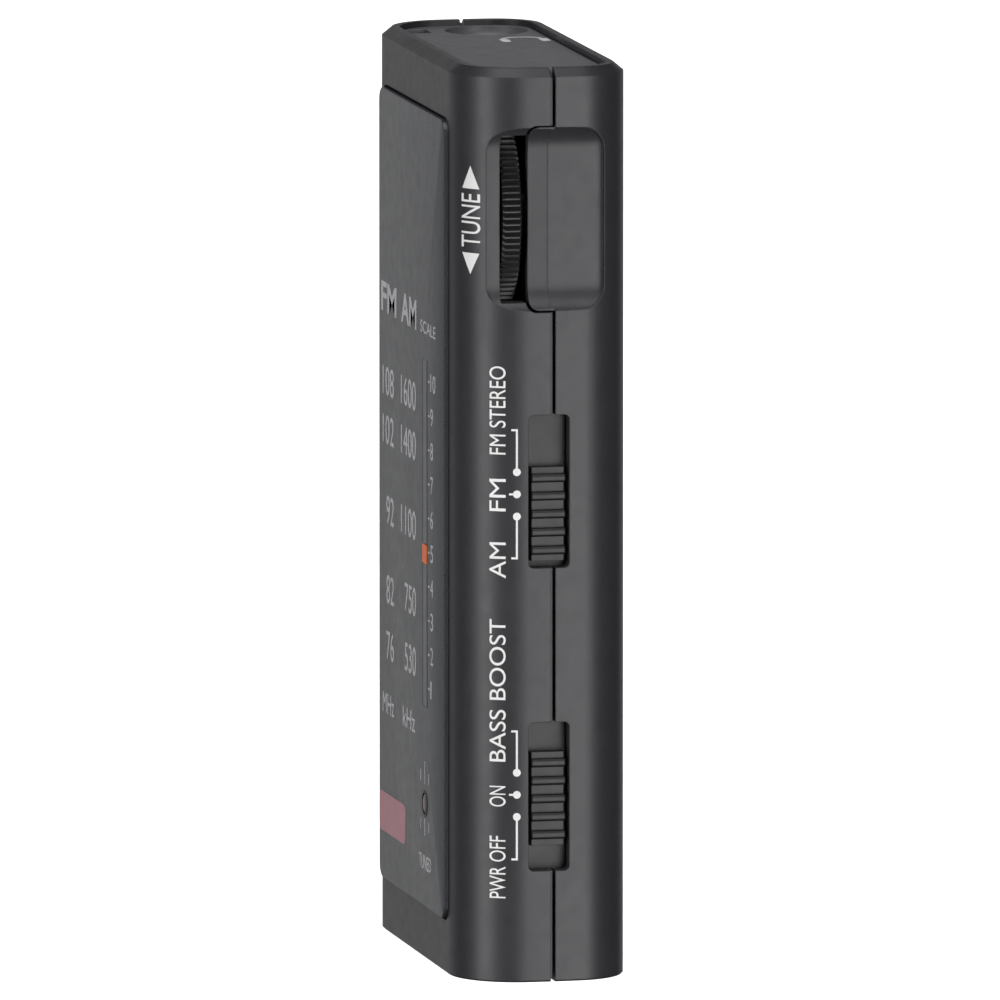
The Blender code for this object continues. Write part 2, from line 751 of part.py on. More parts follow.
def led_parts():
    front = FRONT_Y - PANEL_PROUD
    profile = ((front, LED_LENS_R * 0.7), (front + 0.2, LED_LENS_R), (LED_FRONT_Y - GAP, LED_LENS_R))
    smooth(make("led_lens", lathe_y(LED_X, LED_Z, profile, SMALL_STEPS), PARTS, "clear_red"))
    profile = ((LED_FRONT_Y, 0.7), (LED_FRONT_Y + 0.5, 1.3), (LED_FRONT_Y + 1.2, LED_R), (LED_BACK_Y, LED_R))
    led = make("led_lamp", lathe_y(LED_X, LED_Z, profile, SMALL_STEPS), PARTS, "clear_red")
    for side in (-1, 1):
        x = LED_X + side * LED_LEAD_X
        lead = box(x - LED_LEAD_HALF, x + LED_LEAD_HALF, LED_BACK_Y - 0.4, PART_BACK_Y,
                   LED_Z - LED_LEAD_HALF, LED_Z + LED_LEAD_HALF)
        join(led, "led_lead_" + str(side), lead)
    smooth(led)


def top_inlay():
    inset = INLAY_INSET + INLAY_CLEAR
    bottom = INLAY_TOP - INLAY_THICK
    inlay = make("top_inlay", plan_stack(((bottom, inset), (INLAY_TOP, inset))), PARTS, "inlay")
    hole_r = COLLAR_R + GAP
    flare = (DISH_R - hole_r) / INLAY_THICK
    dish = ((STRAP_BOTTOM, hole_r), (bottom, hole_r), (CASE_H, hole_r + flare * (CASE_H - bottom)))
    cut(inlay, "dish_hole", lathe_z(JACK_X, JACK_Y, dish))
    hole = box(STRAP_X - STRAP_LENGTH / 2, STRAP_X + STRAP_LENGTH / 2, STRAP_Y - STRAP_WIDTH / 2,
               STRAP_Y + STRAP_WIDTH / 2, STRAP_BOTTOM, CASE_H + REACH)
    cut(inlay, "inlay_strap_hole", hole)
    smooth(inlay)
    pin = rod_x(STRAP_Y, STRAP_PIN_Z, STRAP_PIN_R, STRAP_X - STRAP_LENGTH / 2 + STRAP_PIN_CLEAR,
                STRAP_X + STRAP_LENGTH / 2 - STRAP_PIN_CLEAR)
    smooth(make("strap_post", pin, PARTS, "steel", 1.0))


def headphone_jack():
    wide = JACK_BODY / 2
    deep = wide - JACK_BODY_TRIM
    body = box(JACK_X - wide, JACK_X + wide, JACK_Y - deep, JACK_Y + deep, JACK_BOTTOM, JACK_TOP)
    jack = make("headphone_jack", body, PARTS, "black")
    cut(jack, "jack_bore", rod_z(JACK_X, JACK_Y, JACK_BORE_R, JACK_BOTTOM + 1.0, CASE_H))
    smooth(jack)
    ring = rod_z(JACK_X, JACK_Y, COLLAR_R, COLLAR_BOTTOM, COLLAR_TOP)
    collar = make("jack_collar", ring, PARTS, "black")
    cone = lathe_z(JACK_X, JACK_Y, ((COLLAR_BOTTOM - 1.0, JACK_BORE_R), (COLLAR_TOP - 0.7, JACK_BORE_R),
                                    (COLLAR_TOP, COLLAR_CONE_R), (CASE_H, COLLAR_CONE_R)))
    cut(collar, "collar_bore", cone)
    smooth(collar)


def tuning_wheel():
    end = WHEEL_FRONT_Y + WHEEL_THICK
    origin = (WHEEL_X, WHEEL_FRONT_Y, WHEEL_Z)
    disc = toothed_disc(WHEEL_X, WHEEL_Z, WHEEL_R, WHEEL_TEETH, TOOTH_DEPTH, WHEEL_FRONT_Y, end)
    wheel = make("tuning_wheel", disc, PARTS, "black", origin=origin)
    flange = DRUM_FRONT_Y + DRUM_FLANGE
    profile = ((DRUM_FRONT_Y, DRUM_FLANGE_R), (flange, DRUM_FLANGE_R), (flange, DRUM_R),
               (WHEEL_FRONT_Y + 0.2, DRUM_R))
    join(wheel, "drum", lathe_y(WHEEL_X, WHEEL_Z, profile))
    cut(wheel, "tuning_bore", rod_y(WHEEL_X, WHEEL_Z, HUB_BORE_R, -FAR, 0.0))
    smooth(wheel)
    pot_with_shaft("tuning", WHEEL_X, WHEEL_Z, POT_R, DRUM_FRONT_Y + 0.3)


def volume_wheel():
    end = WHEEL_FRONT_Y + WHEEL_THICK
    origin = (VOLUME_X, WHEEL_FRONT_Y, VOLUME_Z)
    disc = toothed_disc(VOLUME_X, VOLUME_Z, VOLUME_R, VOLUME_TEETH, TOOTH_DEPTH, WHEEL_FRONT_Y, end)
    wheel = make("volume_wheel", disc, PARTS, "black", origin=origin)
    cut(wheel, "volume_bore", rod_y(VOLUME_X, VOLUME_Z, HUB_BORE_R, -FAR, 0.0))
    smooth(wheel)
    pot_with_shaft("volume", VOLUME_X, VOLUME_Z, VOLUME_POT_R, WHEEL_FRONT_Y + 0.1)


def pot_with_shaft(label, x, z, radius, shaft_front):
    shaft = rod_y(x, z, SHAFT_R, shaft_front, PART_BACK_Y - 1.0, SMALL_STEPS)
    smooth(make(label + "_shaft", shaft, PARTS, "steel", 1.0, (x, shaft_front, z)))
    body = make(label + "_pot", rod_y(x, z, radius, POT_FRONT_Y, PART_BACK_Y), PARTS, "steel", 1.0)
    cut(body, label + "_pot_bore", rod_y(x, z, POT_BORE_R, -FAR, PART_BACK_Y - 0.7, SMALL_STEPS))
    smooth(body)


def tangent_path():
    """Centre line of the dial cord round the drum and the lower pulley."""
    left_x = WHEEL_X - CORD_DRUM_R
    pulley_x = left_x + PULLEY_CORD_R
    across = WHEEL_X - pulley_x
    tall = WHEEL_Z - PULLEY_Z
    span = math.hypot(across, tall)
    leave = math.asin((CORD_DRUM_R - PULLEY_CORD_R) / span) - math.atan2(across, tall)
    points = cord_arc(WHEEL_X, WHEEL_Z, CORD_DRUM_R, math.pi, leave)
    points += cord_arc(pulley_x, PULLEY_Z, PULLEY_CORD_R, leave, -math.pi)
    return points


def cord_arc(x, z, radius, start, end, steps=14):
    arc = []
    for index in range(steps + 1):
        turn = start + (end - start) * index / steps
        arc.append((x + radius * math.cos(turn), CORD_Y, z + radius * math.sin(turn)))
    return arc


def dial_drive():
    smooth(make("dial_cord", pipe(tangent_path(), CORD_R, 6, True), PARTS, "cord"))
    x = WHEEL_X - CORD_DRUM_R + PULLEY_CORD_R
    groove = PULLEY_GROOVE_HALF
    edge = PULLEY_HALF
    profile = ((CORD_Y - edge, PULLEY_FLANGE_R), (CORD_Y - groove, PULLEY_FLANGE_R),
               (CORD_Y - groove, PULLEY_GROOVE_R), (CORD_Y + groove, PULLEY_GROOVE_R),
               (CORD_Y + groove, PULLEY_FLANGE_R), (CORD_Y + edge, PULLEY_FLANGE_R))
    pulley = make("cord_pulley", lathe_y(x, PULLEY_Z, profile), PARTS, "cord", origin=(x, CORD_Y, PULLEY_Z))
    cut(pulley, "pulley_bore", rod_y(x, PULLEY_Z, PULLEY_BORE_R, -FAR, 0.0, SMALL_STEPS))
    smooth(pulley)
    pointer()


def pointer():
    cord_x = WHEEL_X - CORD_DRUM_R
    block = box(cord_x - POINTER_HALF_H, POINTER_RIGHT_X, POINTER_FRONT_Y, CORD_Y + 0.85,
                POINTER_Z - POINTER_HALF_H, POINTER_Z + POINTER_HALF_H)
    item = make("dial_pointer", block, PARTS, "orange", origin=(SCALE_X, CORD_Y, POINTER_Z))
    front = FRONT_Y - PANEL_PROUD + POINTER_TIP_IN
    tip = box(SCALE_X - POINTER_TIP_HALF_W, SCALE_X + POINTER_TIP_HALF_W, front, POINTER_FRONT_Y + 0.4,
              POINTER_Z - POINTER_TIP_HALF_H, POINTER_Z + POINTER_TIP_HALF_H)
    join(item, "pointer_tip", tip)
    hole = rod_z(cord_x, CORD_Y, CORD_R + GAP, POINTER_Z - REACH, POINTER_Z + REACH, 8)
    cut(item, "pointer_cord_hole", hole)


# slide switches


def slide_switch(label, knob_z):
    low = knob_z - KNOB_LENGTH / 2
    half = KNOB_WIDTH / 2
    origin = (KNOB_FACE_X, SWITCH_Y, knob_z)
    base = box(SKIRT_OUTER_X - 0.2, KNOB_GROOVE_X, SWITCH_Y - half, SWITCH_Y + half, low, low + KNOB_LENGTH)
    knob = make(label + "_knob", base, PARTS, "black", origin=origin)
    skirt = box(SKIRT_INNER_X, SKIRT_OUTER_X, SWITCH_Y - SKIRT_WIDTH / 2, SWITCH_Y + SKIRT_WIDTH / 2,
                knob_z - SKIRT_LENGTH / 2, knob_z + SKIRT_LENGTH / 2)
    join(knob, label + "_skirt", skirt)
    for index in range(KNOB_RIBS):
        centre = knob_z + RIB_PITCH * (index - (KNOB_RIBS - 1) / 2)
        rib = box(KNOB_GROOVE_X - 0.3, KNOB_FACE_X, SWITCH_Y - half + 0.01, SWITCH_Y + half - 0.01,
                  centre - RIB_THICK / 2, centre + RIB_THICK / 2)
        join(knob, label + "_rib_" + str(index), rib)
    for side in (-1, 1):
        near = knob_z + side * FORK_GAP_HALF
        far = knob_z + side * (FORK_GAP_HALF + FORK_THICK)
        prong = box(FORK_X, SKIRT_INNER_X + 0.3, SWITCH_Y - FORK_WIDTH / 2, SWITCH_Y + FORK_WIDTH / 2,
                    min(near, far), max(near, far))
        join(knob, label + "_prong_" + str(side), prong)
    switch_inside(label, knob_z)


def switch_inside(label, knob_z):
    middle = SWITCH_CENTRES[label]
    size = LEVER_SIZE / 2
    lever = box(LEVER_INNER_X, LEVER_OUTER_X, SWITCH_Y - size, SWITCH_Y + size, knob_z - size, knob_z + size)
    make(label + "_lever", lever, PARTS, "black", origin=(LEVER_INNER_X, SWITCH_Y, knob_z))
    half = SWITCH_BODY_WIDTH / 2
    body = make(label + "_body", box(SWITCH_BODY_INNER_X, SWITCH_BODY_OUTER_X, SWITCH_Y - half,
                                     SWITCH_Y + half, middle - SWITCH_BODY_LENGTH / 2,
                                     middle + SWITCH_BODY_LENGTH / 2), PARTS, "steel", 1.0)
    window = box(LEVER_INNER_X - GAP, SWITCH_BODY_OUTER_X + 1.0, SWITCH_Y - SWITCH_WINDOW_WIDTH / 2,
                 SWITCH_Y + SWITCH_WINDOW_WIDTH / 2, middle - SWITCH_WINDOW_LENGTH / 2,
                 middle + SWITCH_WINDOW_LENGTH / 2)
    cut(body, label + "_window", window)


# electronics


def circuit_board():
    outline = ((BOARD_LEFT_X, BOARD_LOW), (BOARD_RIGHT_X, BOARD_LOW), (BOARD_RIGHT_X, BOARD_HIGH),
               (BOARD_STEP_X, BOARD_HIGH), (BOARD_STEP_X, BOARD_STEP_Z), (BOARD_FAR_X, BOARD_STEP_Z),
               (BOARD_FAR_X, BOARD_NOTCH_Z), (BOARD_LEFT_X, BOARD_NOTCH_Z))
    rings = [[(x, y, z) for x, z in outline] for y in (BOARD_FRONT_Y, BOARD_FRONT_Y + BOARD_THICK)]
    board = make("circuit_board", stack(rings), PARTS, "board")
    for index, (x, z) in enumerate(SCREW_SPOTS):
        cut(board, "board_hole_" + str(index), rod_y(x, z, SCREW_HOLE_R + GAP, 0.0, FAR, SMALL_STEPS))


def components():
    for name, x0, x1, front, z0, z1 in CHIPS:
        make(name, box(x0, x1, front, PART_BACK_Y, z0, z1), PARTS, "black")
    for name, x, z in CAPACITORS:
        profile = ((CAPACITOR_FRONT_Y, CAPACITOR_R - CAPACITOR_EDGE),
                   (CAPACITOR_FRONT_Y + CAPACITOR_EDGE, CAPACITOR_R), (PART_BACK_Y, CAPACITOR_R))
        smooth(make(name, lathe_y(x, z, profile, 18), PARTS, "can"))
    make("antenna_rod", box(*ROD_X, *ROD_Y, *ROD_Z), PARTS, "ferrite")
    wall = COIL_WALL
    sleeve = box(ROD_X[0] - wall, ROD_X[1] + wall, ROD_Y[0] - wall, ROD_Y[1] + wall, *COIL_Z)
    coil = make("antenna_coil", sleeve, PARTS, "copper")
    clear = COIL_CLEAR
    bore = box(ROD_X[0] - clear, ROD_X[1] + clear, ROD_Y[0] - clear, ROD_Y[1] + clear, *ROD_Z)
    cut(coil, "coil_bore", bore)


# power


def battery():
    nib = CELL_LOW + CELL_LENGTH
    edge = CELL_EDGE
    profile = ((CELL_LOW, CELL_R - edge), (CELL_LOW + edge, CELL_R), (nib - edge, CELL_R), (nib, CELL_R - edge),
               (nib, CELL_NIB_R), (nib + CELL_NIB, CELL_NIB_R))
    smooth(make("battery_cell", lathe_z(CELL_X, CELL_Y, profile, 28), PARTS, "cell"))
    top = nib + CELL_NIB + GAP
    make("positive_contact", contact_plate(top), PARTS, "steel", 1.0)
    spring()


def contact_plate(low):
    return box(CELL_X - PLATE_HALF, CELL_X + PLATE_HALF, CELL_Y - PLATE_HALF, CELL_Y + PLATE_HALF,
               low, low + PLATE_THICK)


def spring():
    low = BAY_WALL_LOW - 0.1
    make("negative_contact", contact_plate(low), PARTS, "steel", 1.0)
    start = low + PLATE_THICK + GAP + SPRING_WIRE_R
    rise = CELL_LOW - GAP - SPRING_WIRE_R - start
    count = SPRING_TURNS * SPRING_SEGMENTS
    bm = bmesh.new()
    loops = []
    for index in range(count + 1):
        turn = 2 * math.pi * index / SPRING_SEGMENTS
        reach = SPRING_R + SPRING_FLARE * (1 - index / count)
        height = start + rise * index / count
        outward = Vector((math.cos(turn), math.sin(turn), 0.0))
        centre = Vector((CELL_X, CELL_Y, height)) + outward * reach
        loop = []
        for side in range(SPRING_SIDES):
            angle = 2 * math.pi * side / SPRING_SIDES
            offset = outward * math.cos(angle) + Vector((0.0, 0.0, 1.0)) * math.sin(angle)
            loop.append(bm.verts.new(centre + offset * SPRING_WIRE_R))
        loops.append(loop)
    for low_loop, high_loop in zip(loops, loops[1:]):
        for side in range(SPRING_SIDES):
            after = (side + 1) % SPRING_SIDES
            bm.faces.new((low_loop[side], low_loop[after], high_loop[after], high_loop[side]))
    bm.faces.new(loops[0][::-1])
    bm.faces.new(loops[-1])
    smooth(make("battery_spring", bm, PARTS, "steel", 1.0))


def battery_door():
    plate = box(DOOR_LEFT_X + GAP, DOOR_RIGHT_X - GAP, RAIL_FRONT_Y, BACK_Y, DOOR_LOW, DOOR_HIGH - GAP)
    door = make("battery_door", plate, PARTS, "shell", origin=(CELL_X, BACK_Y, DOOR_LOW))
    rails = box(DOOR_LEFT_X - RAIL_WIDTH, DOOR_RIGHT_X + RAIL_WIDTH, RAIL_FRONT_Y, RAIL_FRONT_Y + RAIL_THICK,
                RAIL_LOW, DOOR_HIGH - GAP - 0.01)
    join(door, "door_rail_plate", rails)
    half = GRIP_LENGTH / 2
    for index in range(GRIP_COUNT):
        z = GRIP_LOW + GRIP_PITCH * index
        groove = box(CELL_X - half, CELL_X + half, BACK_Y - GRIP_DEPTH, FAR, z, z + GRIP_WIDTH)
        cut(door, "door_grip_" + str(index), groove)


def screws():
    for name, (x, z) in zip(SCREW_NAMES, SCREW_SPOTS):
        profile = ((SCREW_TIP_Y, SCREW_SHANK_R * 0.6), (SCREW_TIP_Y + 0.5, SCREW_SHANK_R),
                   (SCREW_HEAD_IN_Y, SCREW_SHANK_R), (SCREW_HEAD_IN_Y, SCREW_HEAD_R),
                   (SCREW_HEAD_OUT_Y - 0.25, SCREW_HEAD_R), (SCREW_HEAD_OUT_Y, SCREW_HEAD_R - 0.3))
        screw = make(name, lathe_y(x, z, profile, 16), PARTS, "steel", 1.0)
        half = DRIVE_LENGTH / 2
        thin = DRIVE_WIDTH / 2
        start = SCREW_HEAD_OUT_Y - DRIVE_DEPTH
        cut(screw, name + "_drive_a", box(x - half, x + half, start, FAR, z - thin, z + thin))
        cut(screw, name + "_drive_b", box(x - thin, x + thin, start, FAR, z - half, z + half))
        smooth(screw)


clear_scene()
PARTS = collection("pocket_radio")
CUTTERS = collection("cutters")
front_shell()
rear_shell()
dial_panel()
led_parts()
top_inlay()
headphone_jack()
tuning_wheel()
volume_wheel()
dial_drive()
slide_switch("band_switch", BAND_KNOB_Z)
slide_switch("power_switch", POWER_KNOB_Z)
circuit_board()
components()
battery()
battery_door()
screws()
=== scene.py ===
"""Looks of the pocket radio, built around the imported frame.

Lengths are millimetres in the frame's axes: +Z up, -Y out of the dial, +X out of the side with the controls.
Meshes become metres in solid(), and the studio is in metres. Every visible piece rides on the CAD body that it
belongs to.
"""

import json
import math

import bmesh
import bpy
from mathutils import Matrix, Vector


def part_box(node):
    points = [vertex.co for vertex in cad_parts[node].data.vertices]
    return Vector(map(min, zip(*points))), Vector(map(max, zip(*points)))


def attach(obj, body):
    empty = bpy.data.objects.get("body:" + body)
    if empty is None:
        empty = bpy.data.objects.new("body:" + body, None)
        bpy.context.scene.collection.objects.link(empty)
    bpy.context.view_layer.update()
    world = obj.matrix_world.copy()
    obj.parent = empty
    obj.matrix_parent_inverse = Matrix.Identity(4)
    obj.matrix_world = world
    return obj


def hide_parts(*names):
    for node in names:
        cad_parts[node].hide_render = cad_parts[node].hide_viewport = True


MM = 0.001

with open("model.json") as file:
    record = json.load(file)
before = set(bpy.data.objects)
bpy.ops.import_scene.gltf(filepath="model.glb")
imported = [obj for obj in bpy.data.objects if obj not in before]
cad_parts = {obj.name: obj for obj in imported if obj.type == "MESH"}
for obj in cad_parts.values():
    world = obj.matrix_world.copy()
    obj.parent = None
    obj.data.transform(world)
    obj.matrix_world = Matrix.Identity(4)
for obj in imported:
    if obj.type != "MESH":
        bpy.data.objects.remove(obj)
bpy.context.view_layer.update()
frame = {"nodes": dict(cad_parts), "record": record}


def corners(node):
    """Lowest and highest corner of a CAD node, in millimetres."""
    low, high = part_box(node)
    return low / MM, high / MM


# case, from the frame and the radii of its outline
SHELL_LOW, SHELL_HIGH = corners("front_shell")
_, REAR_HIGH = corners("rear_shell")
HALF_W = SHELL_HIGH.x
FRONT_Y = SHELL_LOW.y
BACK_Y = REAR_HIGH.y
CASE_H = SHELL_HIGH.z
FRONT_R = 6.2
REAR_R = 5.1
FRONT_TURN = math.radians(88.0)
REAR_TURN = math.radians(3.0)
WALL = 1.4
SHOULDER_IN = 0.9
SHOULDER_DOWN = 0.75
BOTTOM_ROUND = 0.15
SKIN_END_Y = 0.3
STEP_END_Y = 0.5
REAR_START_Y = 0.72
STEP_INSET = 0.3
CAVITY_TOP = 79.0
GAP = 0.3
REACH = 3.0
FAR = 60.0
BLOCK_INSET = 0.7
CORNER_STEPS = 26
SIDE_STEPS = 12

# how far a cutter reaches past what it cuts, and how far an added wall sinks into its neighbour
PAST = 1.0
BITE = 0.5

# lip behind the seam
LIP_INSET = 1.7
LIP_THICK = 0.7
LIP_FRONT_Y = -0.9
LIP_ROOT_Y = 1.9
LIP_ROOT_INSET = 1.2
LIP_ROOT_RISE = 0.2
LIP_SEAT = 0.4
LIP_ROOM_BACK = 0.1
LIP_WHEEL_X = 11.9
LIP_WHEEL_ROOM = 1.7
LIP_VOLUME_ROOM = 1.0
LIP_JACK_ROOM = 1.2
LIP_JACK_LOW = 67.0
LIP_SWITCH_ROOM = 5.2

# top inlay, jack and strap hole
INLAY_LOW, INLAY_HIGH = corners("top_inlay")
INLAY_INSET = HALF_W - INLAY_HIGH.x
POCKET_INSET = INLAY_INSET - 0.15
COLLAR_LOW, COLLAR_HIGH = corners("jack_collar")
JACK_X = (COLLAR_LOW.x + COLLAR_HIGH.x) / 2
JACK_Y = (COLLAR_LOW.y + COLLAR_HIGH.y) / 2
COLLAR_R = (COLLAR_HIGH.x - COLLAR_LOW.x) / 2
DISH_R = 3.74
DISH_DEPTH = 1.1
DISH_SHARE = 0.8
DISH_STEPS = 6
JACK_BORE_R = 1.85
STRAP_X = -14.6
STRAP_Y = -4.35
STRAP_LENGTH = 2.9
STRAP_WIDTH = 1.9
STRAP_BOTTOM = 78.2
STRAP_END_WALL = 0.9
STRAP_SIDE_WALL = 0.8

# dial panel
PANEL_LOW, PANEL_HIGH = corners("dial_panel")
PANEL_R = 1.3
PANEL_EDGE = 0.12
PANEL_CLEAR = 0.2
PANEL_SEAT_Y = -7.1
SCALE_X = 5.9
SCALE_WIDTH = 2.1
SCALE_LOW = 23.1
SCALE_HIGH = 54.4
SCALE_BACK_WIDTH = 3.0
SCALE_ROOM = 0.8
STEM_X = 6.72
POINTER_FRONT_Y = -6.0
STEM_HALF = 0.12
STEM_TALL = 0.8
HEAD_HALF = 0.85
STRIP_FIT = 0.02
STRIP_THICK = 0.5
STEM_SLIT = 0.22
CORD_BORE_R = 0.45
CORD_BORE_IN = 1.5
CORD_Y = -4.85
LED_X = 5.8
LED_Z = 14.3
LED_LENS_R = 0.95
LED_HOLE_R = 1.25
LENS_PROUD = 0.1
LENS_DOME = ((0.0, 0.3), (0.03, 0.6), (0.1, 0.82), (0.22, LED_LENS_R))
LENS_FIT = 0.02
BEZEL_PROUD = 0.05
BEZEL_RIM_R = 1.12
BEZEL_FIT = 0.01

# wheels and their recesses
WHEEL_LOW, WHEEL_HIGH = corners("tuning_wheel")
WHEEL_R = (WHEEL_HIGH.z - WHEEL_LOW.z) / 2
WHEEL_X = WHEEL_HIGH.x - WHEEL_R
WHEEL_Z = (WHEEL_HIGH.z + WHEEL_LOW.z) / 2
WHEEL_FRONT_Y = -3.85
WHEEL_REAR_Y = WHEEL_HIGH.y
WHEEL_TEETH = 109
TOOTH_DEPTH = 0.32
TOOTH_PROFILE = ((0.0, 0.0), (0.22, 0.0), (0.34, 0.45), (0.61, 1.0), (0.88, 0.45))
TOOTH_ANGLE = math.radians(25)
WHEEL_EDGE = 0.18
HUB_R = 1.3
DRUM_FRONT_Y = -5.6
DRUM_R = 4.85
DRUM_FLANGE_R = 5.9
DRUM_FLANGE = 0.3
RECESS_HALF_Y = 5.3
RECESS_LOW = 60.3
RECESS_HIGH = 76.75
RECESS_R = 2.3
RECESS_DEPTH = 1.5
RECESS_END_R = 3.0
RECESS_END_TURN = 75.0
TONGUE_DIP = 0.16
TONGUE_GAP = 0.14
TONGUE_R = 0.8
RECESS_WALL = 1.0
RECESS_SIDE_WALL = 0.9
FRONT_END_WALL = 1.2
REAR_END_WALL = 1.1
RECESS_STEPS = 14
RECESS_BEND_STEPS = 16
TONGUE_DIP_REAR = 0.04
SLOT_FRONT_Y = -4.05
SLOT_REAR_Y = -1.5
SLOT_LOW = 61.0
SLOT_HIGH = 76.0
VOLUME_LOW, VOLUME_HIGH = corners("volume_wheel")
VOLUME_R = (VOLUME_HIGH.z - VOLUME_LOW.z) / 2
VOLUME_X = VOLUME_LOW.x + VOLUME_R
VOLUME_Z = (VOLUME_HIGH.z + VOLUME_LOW.z) / 2
VOLUME_TEETH = 75
VOLUME_RECESS_DEPTH = 1.4
VOLUME_RECESS_HALF = 6.1
VOLUME_RECESS_FRONT = -5.3
VOLUME_RECESS_REAR = -0.6
VOLUME_SLOT_HALF = 5.6

# slide switches
SWITCH_Y = 0.12
SWITCH_SLOT_W = 3.75
SLOTS = {"band": (37.25, 51.0), "power": (10.0, 23.4)}
KNOB_Z = {"band": 42.05, "power": 16.45}
KNOB_LENGTH = 8.4
KNOB_WIDTH = 3.15
KNOB_FACE_X = 19.85
KNOB_GROOVE_X = 19.35
KNOB_RIBS = 5
RIB_PITCH = 1.62
RIB_THICK = 0.78
RIB_CROWN = 0.45
KNOB_SOFT = 0.12
SKIRT_INNER_X = 17.5
SKIRT_OUTER_X = 18.3
SKIRT_LENGTH = 18.4
SKIRT_WIDTH = 4.7
FORK_X = 16.3
FORK_GAP_HALF = 1.1
FORK_THICK = 0.8
FORK_WIDTH = 2.0
SWITCH_BODY_OUTER_X = 15.9

# battery bay, door and screws
CELL_LOW, CELL_HIGH = corners("battery_cell")
CELL_R = (CELL_HIGH.x - CELL_LOW.x) / 2
CELL_X = (CELL_HIGH.x + CELL_LOW.x) / 2
CELL_Y = (CELL_HIGH.y + CELL_LOW.y) / 2
BAY_WALL_X = -3.45
BAY_WALL_THICK = 0.7
BAY_WALL_LOW = 2.8
BAY_WALL_HIGH = 50.0
DOOR_LEFT_X = -14.55
DOOR_RIGHT_X = -3.45
DOOR_HIGH = 51.5
RAIL_WIDTH = 1.05
RAIL_FRONT_Y = 6.05
RAIL_LIP_Y = 7.0
DOOR_SEAT = 0.2
SCREW_NAMES = ("case_screw_lower", "case_screw_middle", "case_screw_upper")
SCREW_SPOTS = ((13.5, 5.6), (-1.5, 54.5), (-5.6, 75.2))
SCREW_HEAD_R = 1.65
SCREW_HEAD_OUT_Y = 7.2
SCREW_HEAD_IN_Y = 6.1
SCREW_SINK_R = 1.95
SCREW_HOLE_R = 1.0
CROSS_REACH = 1.1
CROSS_HALF = 0.22
CROSS_DEPTH = 0.5
BOSS_R = 2.0
BOSS_END_Y = 2.0
PILLAR_WALL = 0.5
PILLAR_FRONT_Y = 3.6

SMOOTH_ANGLE = math.radians(32)
INK = 0.014


# mesh builders


def box(x0, x1, y0, y1, z0, z1):
    bm = bmesh.new()
    bmesh.ops.create_cube(bm, size=1.0)
    bmesh.ops.scale(bm, verts=bm.verts, vec=(x1 - x0, y1 - y0, z1 - z0))
    bmesh.ops.translate(bm, verts=bm.verts, vec=((x0 + x1) / 2, (y0 + y1) / 2, (z0 + z1) / 2))
    return bm


def stack(rings):
    """A closed solid through rings of points that all have the same count."""
    bm = bmesh.new()
    loops = [[bm.verts.new(point) for point in ring] for ring in rings]
    count = len(loops[0])
    for low, high in zip(loops, loops[1:]):
        for index in range(count):
            after = (index + 1) % count
            bm.faces.new((low[index], low[after], high[after], high[index]))
    bm.faces.new(loops[0][::-1])
    bm.faces.new(loops[-1])
    return bm


def lathe(axis, a, b, profile, steps=64):
    """A solid of revolution about a line along X, Y or Z from (place, radius) pairs."""
    rings = []
    for place, radius in profile:
        ring = []
        for index in range(steps):
            turn = 2 * math.pi * index / steps
            u = a + radius * math.cos(turn)
            v = b + radius * math.sin(turn)
            ring.append({"X": (place, u, v), "Y": (u, place, v), "Z": (u, v, place)}[axis])
        rings.append(ring)
    return stack(rings)


def rod(axis, a, b, radius, start, end, steps=64):
    return lathe(axis, a, b, ((start, radius), (end, radius)), steps)


def quarter(cx, cy, radius, start, steps):
    points = []
    for index in range(steps + 1):
        turn = start + math.pi / 2 * index / steps
        points.append((cx + radius * math.cos(turn), cy + radius * math.sin(turn)))
    return points


def rounded(u0, u1, v0, v1, radius, steps=12):
    """Outline of a rounded rectangle, counter-clockwise."""
    points = quarter(u1 - radius, v1 - radius, radius, 0.0, steps)
    points += quarter(u0 + radius, v1 - radius, radius, math.pi / 2, steps)
    points += quarter(u0 + radius, v0 + radius, radius, math.pi, steps)
    points += quarter(u1 - radius, v0 + radius, radius, -math.pi / 2, steps)
    return points


def side_plate(y0, y1, z0, z1, radius, x0, x1, steps=12):
    return stack([[(x, y, z) for y, z in rounded(y0, y1, z0, z1, radius, steps)] for x in (x0, x1)])


# the case side is slightly crowned: one wide arc between the two corner arcs
SIDE_R = ((BACK_Y - REAR_R + REAR_R * math.sin(REAR_TURN) - FRONT_Y - FRONT_R + FRONT_R * math.cos(FRONT_TURN))
          / (math.cos(FRONT_TURN) + math.sin(REAR_TURN)))
SIDE_Y = FRONT_Y + FRONT_R - FRONT_R * math.cos(FRONT_TURN) + SIDE_R * math.cos(FRONT_TURN)
FRONT_X = HALF_W - SIDE_R + (SIDE_R - FRONT_R) * math.sin(FRONT_TURN)
REAR_X = HALF_W - SIDE_R + (SIDE_R - REAR_R) * math.cos(REAR_TURN)


def arc(cx, cy, radius, start, end, steps):
    points = []
    for index in range(steps + 1):
        turn = start + (end - start) * index / steps
        points.append((cx + radius * math.cos(turn), cy + radius * math.sin(turn)))
    return points


def plan(inset):
    """Case outline from above, counter-clockwise, moved inwards by an inset."""
    crown = FRONT_TURN - math.pi / 2
    side = arc(HALF_W - SIDE_R, SIDE_Y, SIDE_R - inset, crown, REAR_TURN, SIDE_STEPS)
    half = arc(FRONT_X, FRONT_Y + FRONT_R, FRONT_R - inset, -math.pi / 2, crown, CORNER_STEPS) + side[1:]
    half += arc(REAR_X, BACK_Y - REAR_R, REAR_R - inset, REAR_TURN, math.pi / 2, CORNER_STEPS)[1:]
    return half + [(-x, y) for x, y in reversed(half)]


def plan_stack(levels):
    """The case outline at several heights, from (height, inset) pairs."""
    return stack([[(x, y, z) for x, y in plan(inset)] for z, inset in levels])


# objects


